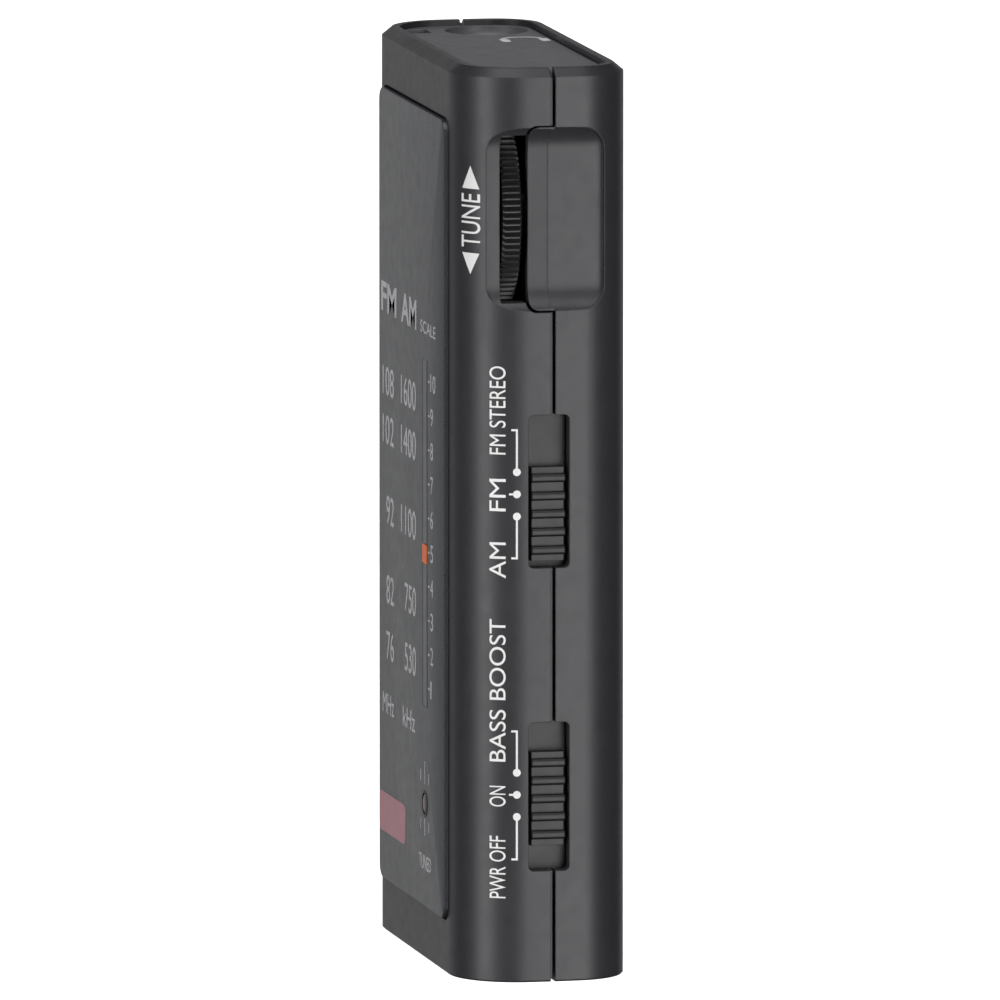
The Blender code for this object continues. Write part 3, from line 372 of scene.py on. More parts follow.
def solid(name, bm):
    """One linked object from a bmesh in millimetres."""
    bmesh.ops.recalc_face_normals(bm, faces=bm.faces)
    bmesh.ops.scale(bm, verts=bm.verts, vec=(MM, MM, MM))
    mesh = bpy.data.meshes.new(name)
    bm.to_mesh(mesh)
    bm.free()
    item = bpy.data.objects.new(name, mesh)
    bpy.context.scene.collection.objects.link(item)
    return item


def drop(item):
    mesh = item.data
    bpy.data.objects.remove(item, do_unlink=True)
    bpy.data.meshes.remove(mesh)


def combine(item, operation, *tools):
    """Booleans the tools into the item one after another and applies them."""
    for tool in tools:
        step = item.modifiers.new(tool.name, "BOOLEAN")
        step.operation = operation
        step.solver = "EXACT"
        step.object = tool
    settle(item)
    for tool in tools:
        drop(tool)


def settle(item):
    """Replaces the item's mesh by what its modifiers make of it."""
    bpy.context.view_layer.update()
    result = bpy.data.meshes.new_from_object(item.evaluated_get(bpy.context.evaluated_depsgraph_get()))
    old = item.data
    item.modifiers.clear()
    item.data = result
    bpy.data.meshes.remove(old)


def cut(item, *bms):
    combine(item, "DIFFERENCE", *[solid(item.name + "_tool", bm) for bm in bms])


def join(item, *bms):
    combine(item, "UNION", *[solid(item.name + "_tool", bm) for bm in bms])


def smooth(item, angle=SMOOTH_ANGLE):
    item.data.shade_smooth()
    item.data.set_sharp_from_angle(angle=angle)


def dress(item, body, surface, slot, *stands_for):
    """Gives a finished piece its material, its body and the CAD nodes that it stands for."""
    item.data.materials.clear()
    item.data.materials.append(surface)
    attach(item, body)
    if stands_for:
        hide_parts(*stands_for)


# materials

NOISE_LOW = 0.3
NOISE_HIGH = 0.7
MOTTLE_SIZE = 3.1
SHEEN_SIZE = 1.3
SHEEN_SPREAD = 0.03
GRAIN_DETAIL = 2.0
BEVEL_SAMPLES = 6
SPECULAR = 0.5


def node_material(name):
    made = bpy.data.materials.new(name)
    made.use_nodes = True
    tree = made.node_tree
    return made, tree.nodes, tree.links, tree.nodes["Principled BSDF"]


def noise(nodes, links, place, size, detail=3.0):
    texture = nodes.new("ShaderNodeTexNoise")
    texture.inputs["Scale"].default_value = 1.0 / (size * MM)
    texture.inputs["Detail"].default_value = detail
    links.new(place, texture.inputs["Vector"])
    return texture.outputs["Fac"]


def spread(nodes, links, factor, low, high):
    """Maps the middle of a noise onto low to high."""
    change = nodes.new("ShaderNodeMapRange")
    change.inputs["From Min"].default_value = NOISE_LOW
    change.inputs["From Max"].default_value = NOISE_HIGH
    change.inputs["To Min"].default_value = low
    change.inputs["To Max"].default_value = high
    links.new(factor, change.inputs["Value"])
    return change.outputs["Result"]


def surface(name, colour, rough, metal=0.0, grain=0.16, relief=0.0, mottle=0.05, edge=0.1, stretch=None):
    """Moulded, printed or plated surface with soft edges, a fine texture and slight unevenness."""
    made, nodes, links, shader = node_material(name)
    place = nodes.new("ShaderNodeTexCoord").outputs["Object"]
    if stretch:
        mapping = nodes.new("ShaderNodeMapping")
        mapping.inputs["Scale"].default_value = stretch
        links.new(place, mapping.inputs["Vector"])
        place = mapping.outputs["Vector"]
    tint = nodes.new("ShaderNodeMix")
    tint.data_type = "RGBA"
    tint.inputs[6].default_value = (*[part * (1 - mottle) for part in colour], 1.0)
    tint.inputs[7].default_value = (*[part * (1 + mottle) for part in colour], 1.0)
    links.new(spread(nodes, links, noise(nodes, links, place, MOTTLE_SIZE), 0.0, 1.0), tint.inputs[0])
    links.new(tint.outputs[2], shader.inputs["Base Color"])
    sheen = noise(nodes, links, place, SHEEN_SIZE)
    uneven = spread(nodes, links, sheen, rough - SHEEN_SPREAD, rough + SHEEN_SPREAD)
    links.new(uneven, shader.inputs["Roughness"])
    shader.inputs["Metallic"].default_value = metal
    shader.inputs["Specular IOR Level"].default_value = SPECULAR
    normal = None
    if edge:
        bevel = nodes.new("ShaderNodeBevel")
        bevel.samples = BEVEL_SAMPLES
        bevel.inputs["Radius"].default_value = edge * MM
        normal = bevel.outputs["Normal"]
    if relief:
        bump = nodes.new("ShaderNodeBump")
        bump.inputs["Strength"].default_value = 1.0
        bump.inputs["Distance"].default_value = relief * MM
        links.new(noise(nodes, links, place, grain, GRAIN_DETAIL), bump.inputs["Height"])
        if normal:
            links.new(normal, bump.inputs["Normal"])
        normal = bump.outputs["Normal"]
    if normal:
        links.new(normal, shader.inputs["Normal"])
    return made


CASE = surface("case_plastic", (0.031, 0.0305, 0.0345), 0.40, relief=0.006, grain=0.22, edge=0.14)
PANEL = surface("panel_plastic", (0.033, 0.035, 0.041), 0.30, relief=0.001, grain=0.4, edge=0.1)
INLAY = surface("inlay_plastic", (0.120, 0.119, 0.132), 0.45, relief=0.004, grain=0.2, edge=0.1)
BLACK = surface("black_plastic", (0.006, 0.006, 0.0065), 0.38, relief=0.002, grain=0.25, edge=0.07)
STEEL = surface("plated_steel", (0.62, 0.61, 0.6), 0.32, metal=1.0, relief=0.002, grain=0.3, edge=0.06)
JACKET = surface("cell_jacket", (0.10, 0.14, 0.28), 0.3, relief=0.001, grain=0.8, edge=0.1)
BOARD = surface("board_resin", (0.02, 0.11, 0.05), 0.35, relief=0.003, grain=0.5, mottle=0.15, edge=0.05)
FERRITE = surface("ferrite", (0.05, 0.045, 0.045), 0.6, relief=0.01, grain=0.3, mottle=0.2)
COPPER = surface("copper_wire", (0.5, 0.2, 0.08), 0.3, metal=1.0, relief=0.02, grain=0.2, stretch=(1.0, 1.0, 6.0))
SLEEVE = surface("capacitor_sleeve", (0.03, 0.035, 0.06), 0.35, relief=0.001, grain=0.6)
NATURAL = surface("natural_plastic", (0.6, 0.57, 0.5), 0.45, relief=0.002, grain=0.3)
CORD = surface("cord_fibre", (0.55, 0.5, 0.42), 0.7, relief=0.02, grain=0.12, stretch=(1.0, 1.0, 4.0), edge=0.0)
RIBBED = surface("ribbed_plastic", (0.008, 0.008, 0.0085), 0.34, relief=0.001, grain=0.3, edge=0.0)
ORANGE = surface("orange_plastic", (0.85, 0.16, 0.03), 0.4, relief=0.001, grain=0.3, edge=0.08)
LENS = surface("red_plastic", (0.10, 0.07, 0.075), 0.22, relief=0.0005, grain=0.3, edge=0.05)
WHITE_INK = surface("white_ink", (0.80, 0.80, 0.79), 0.55, relief=0.001, grain=0.08, mottle=0.03, edge=0.0)
STRIP = surface("scale_strip", (0.075, 0.077, 0.085), 0.3, relief=0.001, grain=0.4, edge=0.05)
GREY_INK = surface("grey_ink", (0.50, 0.50, 0.52), 0.3, relief=0.001, grain=0.08, mottle=0.03, edge=0.0)
PINK_INK = surface("badge_ink", (0.45, 0.22, 0.25), 0.45, relief=0.001, grain=0.08, mottle=0.04, edge=0.0)

CAD_SURFACES = {
    "case_plastic": CASE,
    "panel_plastic": PANEL,
    "inlay_plastic": INLAY,
    "black_plastic": BLACK,
    "plated_steel": STEEL,
    "cell_jacket": JACKET,
    "board_resin": BOARD,
    "ferrite": FERRITE,
    "copper_wire": COPPER,
    "capacitor_sleeve": SLEEVE,
    "natural_plastic": NATURAL,
    "cord_fibre": CORD,
    "orange_plastic": ORANGE,
    "red_plastic": LENS,
}


def dress_cad_nodes():
    for part in frame["record"]["subparts"]:
        mesh = frame["nodes"][part["node"]].data
        mesh.materials.clear()
        mesh.materials.append(CAD_SURFACES[part["material_slot"]])


# case halves


def recess_floor(sink=0.0):
    """Flat floor in X and Z, from the top down, which curves up to the case side at both ends."""
    floor_x = HALF_W - RECESS_DEPTH
    rise = math.sqrt(RECESS_END_R ** 2 - (RECESS_END_R - RECESS_DEPTH) ** 2)
    bend = arc(0.0, 0.0, RECESS_END_R, 0.0, math.radians(RECESS_END_TURN), RECESS_BEND_STEPS)
    shape = [(floor_x - sink + RECESS_END_R - x, z - rise) for x, z in bend]
    return ([(x, RECESS_HIGH + z) for x, z in reversed(shape)]
            + [(x, RECESS_LOW - z) for x, z in shape])


def recess_tool():
    prism = side_plate(-RECESS_HALF_Y, RECESS_HALF_Y, RECESS_LOW, RECESS_HIGH, RECESS_R,
                       HALF_W - RECESS_DEPTH - PAST, HALF_W + REACH, RECESS_STEPS)
    inner_x = HALF_W - RECESS_DEPTH - REACH
    ring = [(inner_x, RECESS_LOW - REACH), (inner_x, RECESS_HIGH + REACH)] + recess_floor()
    tool = solid("recess_tool", prism)
    cut(tool, stack([[(x, y, z) for x, z in ring] for y in (-RECESS_HALF_Y - PAST, RECESS_HALF_Y + PAST)]))
    return tool


def tongue_dip():
    """The forward part of the floor leans down towards the wheel."""
    outer = [(HALF_W + REACH, RECESS_LOW - PAST), (HALF_W + REACH, RECESS_HIGH + PAST)]
    return stack([[(x, y, z) for x, z in recess_floor(sink) + outer]
                  for y, sink in ((SLOT_REAR_Y - PAST, TONGUE_DIP), (SKIN_END_Y, TONGUE_DIP_REAR))])


def shell_blank(name):
    levels = ((0.0, BOTTOM_ROUND), (BOTTOM_ROUND, 0.0), (CASE_H - SHOULDER_DOWN, 0.0), (CASE_H, SHOULDER_IN))
    shell = solid(name, plan_stack(levels))
    cut(shell, plan_stack(((WALL, WALL), (CAVITY_TOP, WALL))))
    return shell


def block_inside(across, deep, tall):
    """A thicker wall over a box that doesn't reach past the curved outside."""
    block = solid("block", plan_stack(((tall[0], BLOCK_INSET), (tall[1], BLOCK_INSET))))
    combine(block, "INTERSECT", solid("limits", box(*across, *deep, tall[0] - PAST, tall[1] + PAST)))
    return block


def top_tools():
    floor = INLAY_LOW.z - GAP
    pocket = plan_stack(((floor, POCKET_INSET), (CASE_H + REACH, POCKET_INSET)))
    return pocket, rod("Z", JACK_X, JACK_Y, COLLAR_R + GAP, CAVITY_TOP - REACH, CASE_H)


def switch_tools():
    half = SWITCH_SLOT_W / 2
    return [side_plate(SWITCH_Y - half, SWITCH_Y + half, low, high, 0.5, HALF_W - REACH, HALF_W + REACH, 6)
            for low, high in SLOTS.values()]


def strap_tool():
    return box(STRAP_X - STRAP_LENGTH / 2, STRAP_X + STRAP_LENGTH / 2, STRAP_Y - STRAP_WIDTH / 2,
               STRAP_Y + STRAP_WIDTH / 2, STRAP_BOTTOM, CASE_H + REACH)


def panel_tools():
    half = PANEL_HIGH.x + PANEL_CLEAR
    outline = rounded(-half, half, PANEL_LOW.z - PANEL_CLEAR, PANEL_HIGH.z + PANEL_CLEAR, PANEL_R + PANEL_CLEAR)
    seat = stack([[(x, y, z) for x, z in outline] for y in (FRONT_Y - REACH, PANEL_SEAT_Y)])
    half = SCALE_BACK_WIDTH / 2
    slot = box(SCALE_X - half, SCALE_X + half, FRONT_Y, FRONT_Y + WALL + 1.5, SCALE_LOW - SCALE_ROOM,
               SCALE_HIGH + SCALE_ROOM)
    return seat, slot, rod("Y", LED_X, LED_Z, LED_HOLE_R, FRONT_Y, FRONT_Y + WALL + PAST)


def front_shell():
    shell = shell_blank("front_shell_moulding")
    inner = HALF_W - RECESS_DEPTH - RECESS_WALL
    cut(shell, box(-FAR, FAR, STEP_END_Y, FAR, -REACH, CASE_H + REACH))
    combine(shell, "DIFFERENCE", groove_tool())
    reach_v = VOLUME_RECESS_HALF + RECESS_WALL
    volume_x = VOLUME_RECESS_DEPTH + RECESS_WALL - HALF_W
    blocks = (
        block_inside((inner, HALF_W), (-RECESS_HALF_Y - RECESS_SIDE_WALL, STEP_END_Y),
                     (RECESS_LOW - FRONT_END_WALL, RECESS_HIGH + FRONT_END_WALL)),
        block_inside((-HALF_W, volume_x), (VOLUME_RECESS_FRONT - RECESS_SIDE_WALL, STEP_END_Y),
                     (VOLUME_Z - reach_v, VOLUME_Z + reach_v)),
        block_inside((-HALF_W, STRAP_X + STRAP_LENGTH / 2 + STRAP_END_WALL),
                     (FRONT_Y, STRAP_Y + STRAP_WIDTH / 2 + STRAP_SIDE_WALL),
                     (STRAP_BOTTOM - PAST, CAVITY_TOP + PAST)),
    )
    combine(shell, "UNION", *blocks)
    bosses = [rod("Y", x, z, BOSS_R, FRONT_Y + WALL - BITE, BOSS_END_Y, 24) for x, z in SCREW_SPOTS]
    wall = box(BAY_WALL_X, BAY_WALL_X + BAY_WALL_THICK, FRONT_Y + WALL - BITE, BACK_Y - WALL - 1.0,
               BAY_WALL_LOW, BAY_WALL_HIGH)
    join(shell, wall, *bosses)
    tongue = side_plate(SLOT_REAR_Y - GAP, FAR, RECESS_LOW - TONGUE_GAP, RECESS_HIGH + TONGUE_GAP, TONGUE_R,
                        inner - PAST, FAR, 6)
    slot = box(inner - PAST, FAR, SLOT_FRONT_Y, SLOT_REAR_Y, SLOT_LOW, SLOT_HIGH)
    volume = side_plate(VOLUME_RECESS_FRONT, VOLUME_RECESS_REAR, VOLUME_Z - VOLUME_RECESS_HALF,
                        VOLUME_Z + VOLUME_RECESS_HALF, 1.5, -FAR, VOLUME_RECESS_DEPTH - HALF_W)
    volume_slot = box(-FAR, volume_x + PAST, SLOT_FRONT_Y, WHEEL_REAR_Y + GAP, VOLUME_Z - VOLUME_SLOT_HALF,
                      VOLUME_Z + VOLUME_SLOT_HALF)
    cut(shell, *top_tools(), strap_tool())
    combine(shell, "DIFFERENCE", recess_tool())
    cut(shell, tongue, slot, volume, volume_slot)
    cut(shell, *switch_tools(), *panel_tools())
    smooth(shell)
    dress(shell, "case", CASE, "case_plastic", "front_shell")


def groove_tool():
    """What the front half's skin leaves open beside the seam, over a step just under it."""
    tool = solid("groove", box(-FAR, FAR, SKIN_END_Y, FAR, -REACH, CASE_H + REACH))
    cut(tool, plan_stack(((STEP_INSET, STEP_INSET), (CASE_H - SHOULDER_DOWN - STEP_INSET / 2, STEP_INSET),
                          (CASE_H - STEP_INSET, SHOULDER_IN + STEP_INSET / 3))))
    return tool


def lip():
    outer = LIP_INSET
    inner = LIP_INSET + LIP_THICK
    high = CASE_H - REACH - GAP
    ring = solid("lip", plan_stack(((outer, outer), (high, outer))))
    cut(ring, box(-FAR, FAR, REAR_START_Y + LIP_SEAT, FAR, -REACH, CASE_H))
    root_levels = ((LIP_ROOT_INSET, LIP_ROOT_INSET), (CAVITY_TOP + LIP_ROOT_RISE, LIP_ROOT_INSET))
    root = solid("lip_root", plan_stack(root_levels))
    cut(root, box(-FAR, FAR, -FAR, REAR_START_Y, -REACH, CASE_H), box(-FAR, FAR, LIP_ROOT_Y, FAR, -REACH, CASE_H))
    combine(ring, "UNION", root)
    back = LIP_ROOT_Y + LIP_ROOM_BACK
    rooms = [
        box(-FAR, FAR, -FAR, LIP_FRONT_Y, -REACH, CASE_H),
        plan_stack(((inner, inner), (high - LIP_THICK, inner))),
        box(LIP_WHEEL_X, FAR, -REACH, back, RECESS_LOW - LIP_WHEEL_ROOM, CASE_H),
        box(-FAR, VOLUME_X, -REACH, back, VOLUME_Z - VOLUME_R - LIP_VOLUME_ROOM,
            VOLUME_Z + VOLUME_R + LIP_VOLUME_ROOM),
        rod("Z", JACK_X, JACK_Y, COLLAR_R + LIP_JACK_ROOM, LIP_JACK_LOW, CASE_H),
    ]
    for low, top in SLOTS.values():
        rooms.append(box(SWITCH_BODY_OUTER_X, FAR, -REACH, back, low - LIP_SWITCH_ROOM, top + LIP_SWITCH_ROOM))
    cut(ring, *rooms)
    return ring


def rear_shell():
    shell = shell_blank("rear_shell_moulding")
    inner = HALF_W - RECESS_DEPTH - RECESS_WALL
    cut(shell, box(-FAR, FAR, -FAR, REAR_START_Y, -REACH, CASE_H + REACH))
    block = block_inside((inner, HALF_W), (REAR_START_Y, RECESS_HALF_Y + RECESS_SIDE_WALL),
                         (RECESS_LOW - REAR_END_WALL, RECESS_HIGH + REAR_END_WALL))
    combine(shell, "UNION", lip(), block)
    tongue = side_plate(SLOT_REAR_Y, REAR_START_Y + 2.0, RECESS_LOW, RECESS_HIGH, TONGUE_R, inner,
                        HALF_W - STEP_INSET, 6)
    pillars = [rod("Y", x, z, SCREW_SINK_R + PILLAR_WALL, PILLAR_FRONT_Y, BACK_Y - WALL + BITE, 24)
               for x, z in SCREW_SPOTS]
    join(shell, tongue, *pillars)
    cut(shell, *top_tools(), *switch_tools())
    combine(shell, "DIFFERENCE", recess_tool())
    cut(shell, tongue_dip())
    opening = box(DOOR_LEFT_X, DOOR_RIGHT_X, RAIL_FRONT_Y - DOOR_SEAT, FAR, -REACH, DOOR_HIGH)
    rails = box(DOOR_LEFT_X - RAIL_WIDTH - GAP, DOOR_RIGHT_X + RAIL_WIDTH + GAP, RAIL_FRONT_Y - DOOR_SEAT,
                RAIL_LIP_Y, -REACH, DOOR_HIGH)
    holes = [rod("Y", x, z, SCREW_HOLE_R, 0.0, FAR, 24) for x, z in SCREW_SPOTS]
    sinks = [rod("Y", x, z, SCREW_SINK_R, SCREW_HEAD_IN_Y - GAP, FAR, 40) for x, z in SCREW_SPOTS]
    cut(shell, opening, rails, *holes, *sinks)
    smooth(shell)
    dress(shell, "case", CASE, "case_plastic", "rear_shell")


# panel, inlay, jack and lens


def dial_panel():
    front = PANEL_LOW.y
    back = PANEL_HIGH.y
    rings = []
    for y, inset in ((front, PANEL_EDGE), (front + PANEL_EDGE * 0.3, PANEL_EDGE * 0.3), (front + PANEL_EDGE, 0.0),
                     (back, 0.0)):
        outline = rounded(PANEL_LOW.x + inset, PANEL_HIGH.x - inset, PANEL_LOW.z + inset, PANEL_HIGH.z - inset,
                          PANEL_R - inset)
        rings.append([(x, y, z) for x, z in outline])
    panel = solid("dial_panel_moulding", stack(rings))
    half = SCALE_WIDTH / 2
    cut(panel, box(SCALE_X - half, SCALE_X + half, -FAR, 0.0, SCALE_LOW, SCALE_HIGH),
        rod("Y", LED_X, LED_Z, LED_HOLE_R, -FAR, 0.0, 48))
    smooth(panel)
    dress(panel, "case", PANEL, "panel_plastic", "dial_panel")


def led_lens():
    panel = PANEL_LOW.y
    front = panel - LENS_PROUD
    profile = [(front + depth, radius) for depth, radius in LENS_DOME] + [(PANEL_SEAT_Y, LED_LENS_R)]
    lens = solid("indicator_lens", lathe("Y", LED_X, LED_Z, profile, 48))
    smooth(lens)
    dress(lens, "case", LENS, "red_plastic", "led_lens")
    outer = LED_HOLE_R - BEZEL_FIT
    ring = ((panel - BEZEL_PROUD, BEZEL_RIM_R), (panel, outer), (PANEL_SEAT_Y, outer))
    bezel = solid("indicator_bezel", lathe("Y", LED_X, LED_Z, ring, 48))
    cut(bezel, rod("Y", LED_X, LED_Z, LED_LENS_R + LENS_FIT, -FAR, 0.0, 48))
    smooth(bezel)
    dress(bezel, "case", BLACK, "black_plastic")


def top_inlay():
    edge = 0.1
    levels = ((INLAY_LOW.z, INLAY_INSET), (INLAY_HIGH.z - edge, INLAY_INSET), (INLAY_HIGH.z, INLAY_INSET + edge))
    inlay = solid("top_inlay_plate", plan_stack(levels))
    hole = COLLAR_R + GAP
    dish = [(STRAP_BOTTOM, hole), (INLAY_LOW.z, hole)]
    for index in range(DISH_STEPS + 1):
        turn = math.pi / 2 * index / DISH_STEPS
        depth = DISH_DEPTH * DISH_SHARE * math.cos(turn)
        dish.append((INLAY_HIGH.z - depth, hole + (DISH_R - hole) * math.sin(turn)))
    dish.append((CASE_H + REACH, DISH_R))
    cut(inlay, lathe("Z", JACK_X, JACK_Y, dish), strap_tool())
    smooth(inlay)
    dress(inlay, "case", INLAY, "inlay_plastic", "top_inlay")


def jack_collar():
    outer = lathe("Z", JACK_X, JACK_Y, ((COLLAR_LOW.z, COLLAR_R), (COLLAR_HIGH.z - 0.15, COLLAR_R),
                                        (COLLAR_HIGH.z, COLLAR_R - 0.15)))
    collar = solid("socket_collar", outer)
    rim = COLLAR_R - 0.4
    cut(collar, lathe("Z", JACK_X, JACK_Y, ((COLLAR_LOW.z - 1.0, JACK_BORE_R), (COLLAR_HIGH.z - 1.0, JACK_BORE_R),
                                            (COLLAR_HIGH.z - 0.5, JACK_BORE_R + 0.3),
                                            (COLLAR_HIGH.z - 0.1, rim), (CASE_H + REACH, rim))))
    smooth(collar)
    dress(collar, "case", BLACK, "black_plastic", "jack_collar")


# wheels


def toothed_rings(x, z, radius, teeth, front, rear):
    """Rings for a wheel with narrow rounded ridges and broken edges."""
    rings = []
    for y, inset in ((front, WHEEL_EDGE), (front + WHEEL_EDGE, 0.0), (rear - WHEEL_EDGE, 0.0), (rear, WHEEL_EDGE)):
        ring = []
        for index in range(teeth):
            for part, depth in TOOTH_PROFILE:
                turn = 2 * math.pi * (index + part) / teeth
                reach = radius - max(depth * TOOTH_DEPTH, inset)
                ring.append((x + reach * math.cos(turn), y, z + reach * math.sin(turn)))
        rings.append(ring)
    return rings


def tuning_wheel():
    wheel = solid("tuning_wheel_moulding",
                  stack(toothed_rings(WHEEL_X, WHEEL_Z, WHEEL_R, WHEEL_TEETH, WHEEL_FRONT_Y, WHEEL_REAR_Y)))
    flange_end = DRUM_FRONT_Y + DRUM_FLANGE
    drum = ((DRUM_FRONT_Y, DRUM_FLANGE_R), (flange_end, DRUM_FLANGE_R), (flange_end, DRUM_R),
            (WHEEL_FRONT_Y + 0.2, DRUM_R))
    join(wheel, lathe("Y", WHEEL_X, WHEEL_Z, drum))
    cut(wheel, rod("Y", WHEEL_X, WHEEL_Z, HUB_R, -FAR, 0.0, 32))
    smooth(wheel, TOOTH_ANGLE)
    dress(wheel, "tuning", RIBBED, "black_plastic", "tuning_wheel")


def volume_wheel():
    wheel = solid("volume_wheel_moulding",
                  stack(toothed_rings(VOLUME_X, VOLUME_Z, VOLUME_R, VOLUME_TEETH, VOLUME_LOW.y, VOLUME_HIGH.y)))
    cut(wheel, rod("Y", VOLUME_X, VOLUME_Z, HUB_R, -FAR, 0.0, 32))
    smooth(wheel, TOOTH_ANGLE)
    dress(wheel, "volume", RIBBED, "black_plastic", "volume_wheel")


# switches and pointer


def knob_profile(z_low, z_high):
    """Outline in X and Z of the ribbed face, with round-topped ribs between flat grooves."""
    points = [(SKIRT_OUTER_X - 0.2, z_high), (SKIRT_OUTER_X - 0.2, z_low), (KNOB_GROOVE_X, z_low)]
    middle = (z_low + z_high) / 2
    radius = RIB_THICK / 2
    rise = KNOB_FACE_X - KNOB_GROOVE_X
    steps = 8
    for index in range(KNOB_RIBS):
        centre = middle + RIB_PITCH * (index - (KNOB_RIBS - 1) / 2)
        points.append((KNOB_GROOVE_X, centre - radius))
        for step in range(steps + 1):
            turn = math.pi * step / steps
            across = centre - radius * math.cos(turn)
            points.append((KNOB_FACE_X - rise * RIB_CROWN * (1 - math.sin(turn)), across))
        points.append((KNOB_GROOVE_X, centre + radius))
    points.append((KNOB_GROOVE_X, z_high))
    return points


def slide_knob(label):
    centre = KNOB_Z[label]
    low = centre - KNOB_LENGTH / 2
    half = KNOB_WIDTH / 2
    soft = KNOB_SOFT
    outline = knob_profile(low, low + KNOB_LENGTH)
    rings = []
    for y, inset in ((-half, soft), (-half + soft, 0.0), (half - soft, 0.0), (half, soft)):
        rings.append([(x - (inset if x > SKIRT_OUTER_X else 0.0), SWITCH_Y + y, z) for x, z in outline])
    knob = solid(label + "_switch_button", stack(rings))
    skirt = side_plate(SWITCH_Y - SKIRT_WIDTH / 2, SWITCH_Y + SKIRT_WIDTH / 2, centre - SKIRT_LENGTH / 2,
                       centre + SKIRT_LENGTH / 2, 0.4, SKIRT_INNER_X, SKIRT_OUTER_X, 4)
    prongs = []
    for side in (-1, 1):
        near = centre + side * FORK_GAP_HALF
        far = centre + side * (FORK_GAP_HALF + FORK_THICK)
        prongs.append(box(FORK_X, SKIRT_INNER_X + 0.3, SWITCH_Y - FORK_WIDTH / 2, SWITCH_Y + FORK_WIDTH / 2,
                          min(near, far), max(near, far)))
    join(knob, skirt, *prongs)
    smooth(knob)
    dress(knob, label + "_switch", BLACK, "black_plastic", label + "_switch_knob")


def scale_strip():
    """Strip behind the scale window, beside the slit that the pointer's stem runs in."""
    front = PANEL_LOW.y + STRIP_FIT
    strip = solid("scale_strip", box(SCALE_X - SCALE_WIDTH / 2 + STRIP_FIT, STEM_X - STEM_SLIT,
                                     front, front + STRIP_THICK, SCALE_LOW + STRIP_FIT, SCALE_HIGH - STRIP_FIT))
    smooth(strip)
    dress(strip, "case", STRIP, "panel_plastic")


def dial_pointer():
    """Block on the cord, a thin stem through the slit, and a head that lies over the strip."""
    low, high = corners("dial_pointer")
    middle = (low.z + high.z) / 2
    front = PANEL_LOW.y
    block_front = POINTER_FRONT_Y
    right = STEM_X + STEM_HALF
    pointer = solid("pointer_moulding", box(low.x, high.x, block_front, high.y, low.z, high.z))
    stem = box(STEM_X - STEM_HALF, right, front - 0.05, block_front + 0.2, middle - STEM_TALL, middle + STEM_TALL)
    head = box(SCALE_X - HEAD_HALF, right, front - 0.08, front - 0.01, middle - HEAD_HALF, middle + HEAD_HALF)
    join(pointer, stem, head)
    cut(pointer, rod("Z", low.x + CORD_BORE_IN, CORD_Y, CORD_BORE_R, low.z - PAST, high.z + PAST, 16))
    smooth(pointer)
    dress(pointer, "pointer", ORANGE, "orange_plastic", "dial_pointer")


# battery and screws


def battery_cell():
    nib = CELL_HIGH.z - 0.8
    low = CELL_LOW.z
    profile = ((low, CELL_R - 0.5), (low + 0.15, CELL_R - 0.15), (low + 0.5, CELL_R), (nib - 0.5, CELL_R),
               (nib - 0.15, CELL_R - 0.15), (nib, CELL_R - 0.5))
    jacket = solid("cell_jacket_sleeve", lathe("Z", CELL_X, CELL_Y, profile, 96))
    cut(jacket, rod("Z", CELL_X, CELL_Y, CELL_R - 1.2, nib - 0.1, nib + 1.0))
    smooth(jacket)
    dress(jacket, "case", JACKET, "cell_jacket", "battery_cell")
    cap = ((nib - 0.1, CELL_R - 1.3), (nib, CELL_R - 1.35), (nib, 2.0), (nib + 0.7, 1.95), (nib + 0.8, 1.8))
    nipple = solid("cell_positive_cap", lathe("Z", CELL_X, CELL_Y, cap, 64))
    smooth(nipple)
    dress(nipple, "case", STEEL, "plated_steel")


def screws():
    for name, (x, z) in zip(SCREW_NAMES, SCREW_SPOTS):
        low, high = corners(name)
        profile = ((low.y, 0.4), (low.y + 0.5, 0.7), (SCREW_HEAD_IN_Y, 0.7), (SCREW_HEAD_IN_Y, SCREW_HEAD_R),
                   (SCREW_HEAD_OUT_Y - 0.35, SCREW_HEAD_R), (SCREW_HEAD_OUT_Y - 0.12, SCREW_HEAD_R - 0.12),
                   (SCREW_HEAD_OUT_Y, SCREW_HEAD_R - 0.4))
        screw = solid(name + "_turned", lathe("Y", x, z, profile, 48))
        start = SCREW_HEAD_OUT_Y - CROSS_DEPTH
        for wide, tall in ((CROSS_REACH, CROSS_HALF), (CROSS_HALF, CROSS_REACH)):
            cut(screw, box(x - wide, x + wide, start, FAR, z - tall, z + tall))
        smooth(screw)
        dress(screw, "case", STEEL, "plated_steel", name)


# print


def letters(text, heavy=0.0):
    """Flat lettering as a bmesh that fills 0 to 1 both ways, with a little depth."""
    curve = bpy.data.curves.new("text", "FONT")
    curve.body = text
    curve.offset = heavy
    curve.extrude = 0.5
    item = bpy.data.objects.new("text", curve)
    bpy.context.scene.collection.objects.link(item)
    bpy.context.view_layer.update()
    mesh = bpy.data.meshes.new_from_object(item.evaluated_get(bpy.context.evaluated_depsgraph_get()))
    bpy.data.objects.remove(item, do_unlink=True)
    bpy.data.curves.remove(curve)
    bm = bmesh.new()
    bm.from_mesh(mesh)
    bpy.data.meshes.remove(mesh)
    bmesh.ops.remove_doubles(bm, verts=bm.verts, dist=1e-5)
    low = Vector([min(v.co[i] for v in bm.verts) for i in range(3)])
    high = Vector([max(v.co[i] for v in bm.verts) for i in range(3)])
    for v in bm.verts:
        v.co = Vector([(v.co[i] - low[i]) / (high[i] - low[i]) for i in range(3)])
    return bm


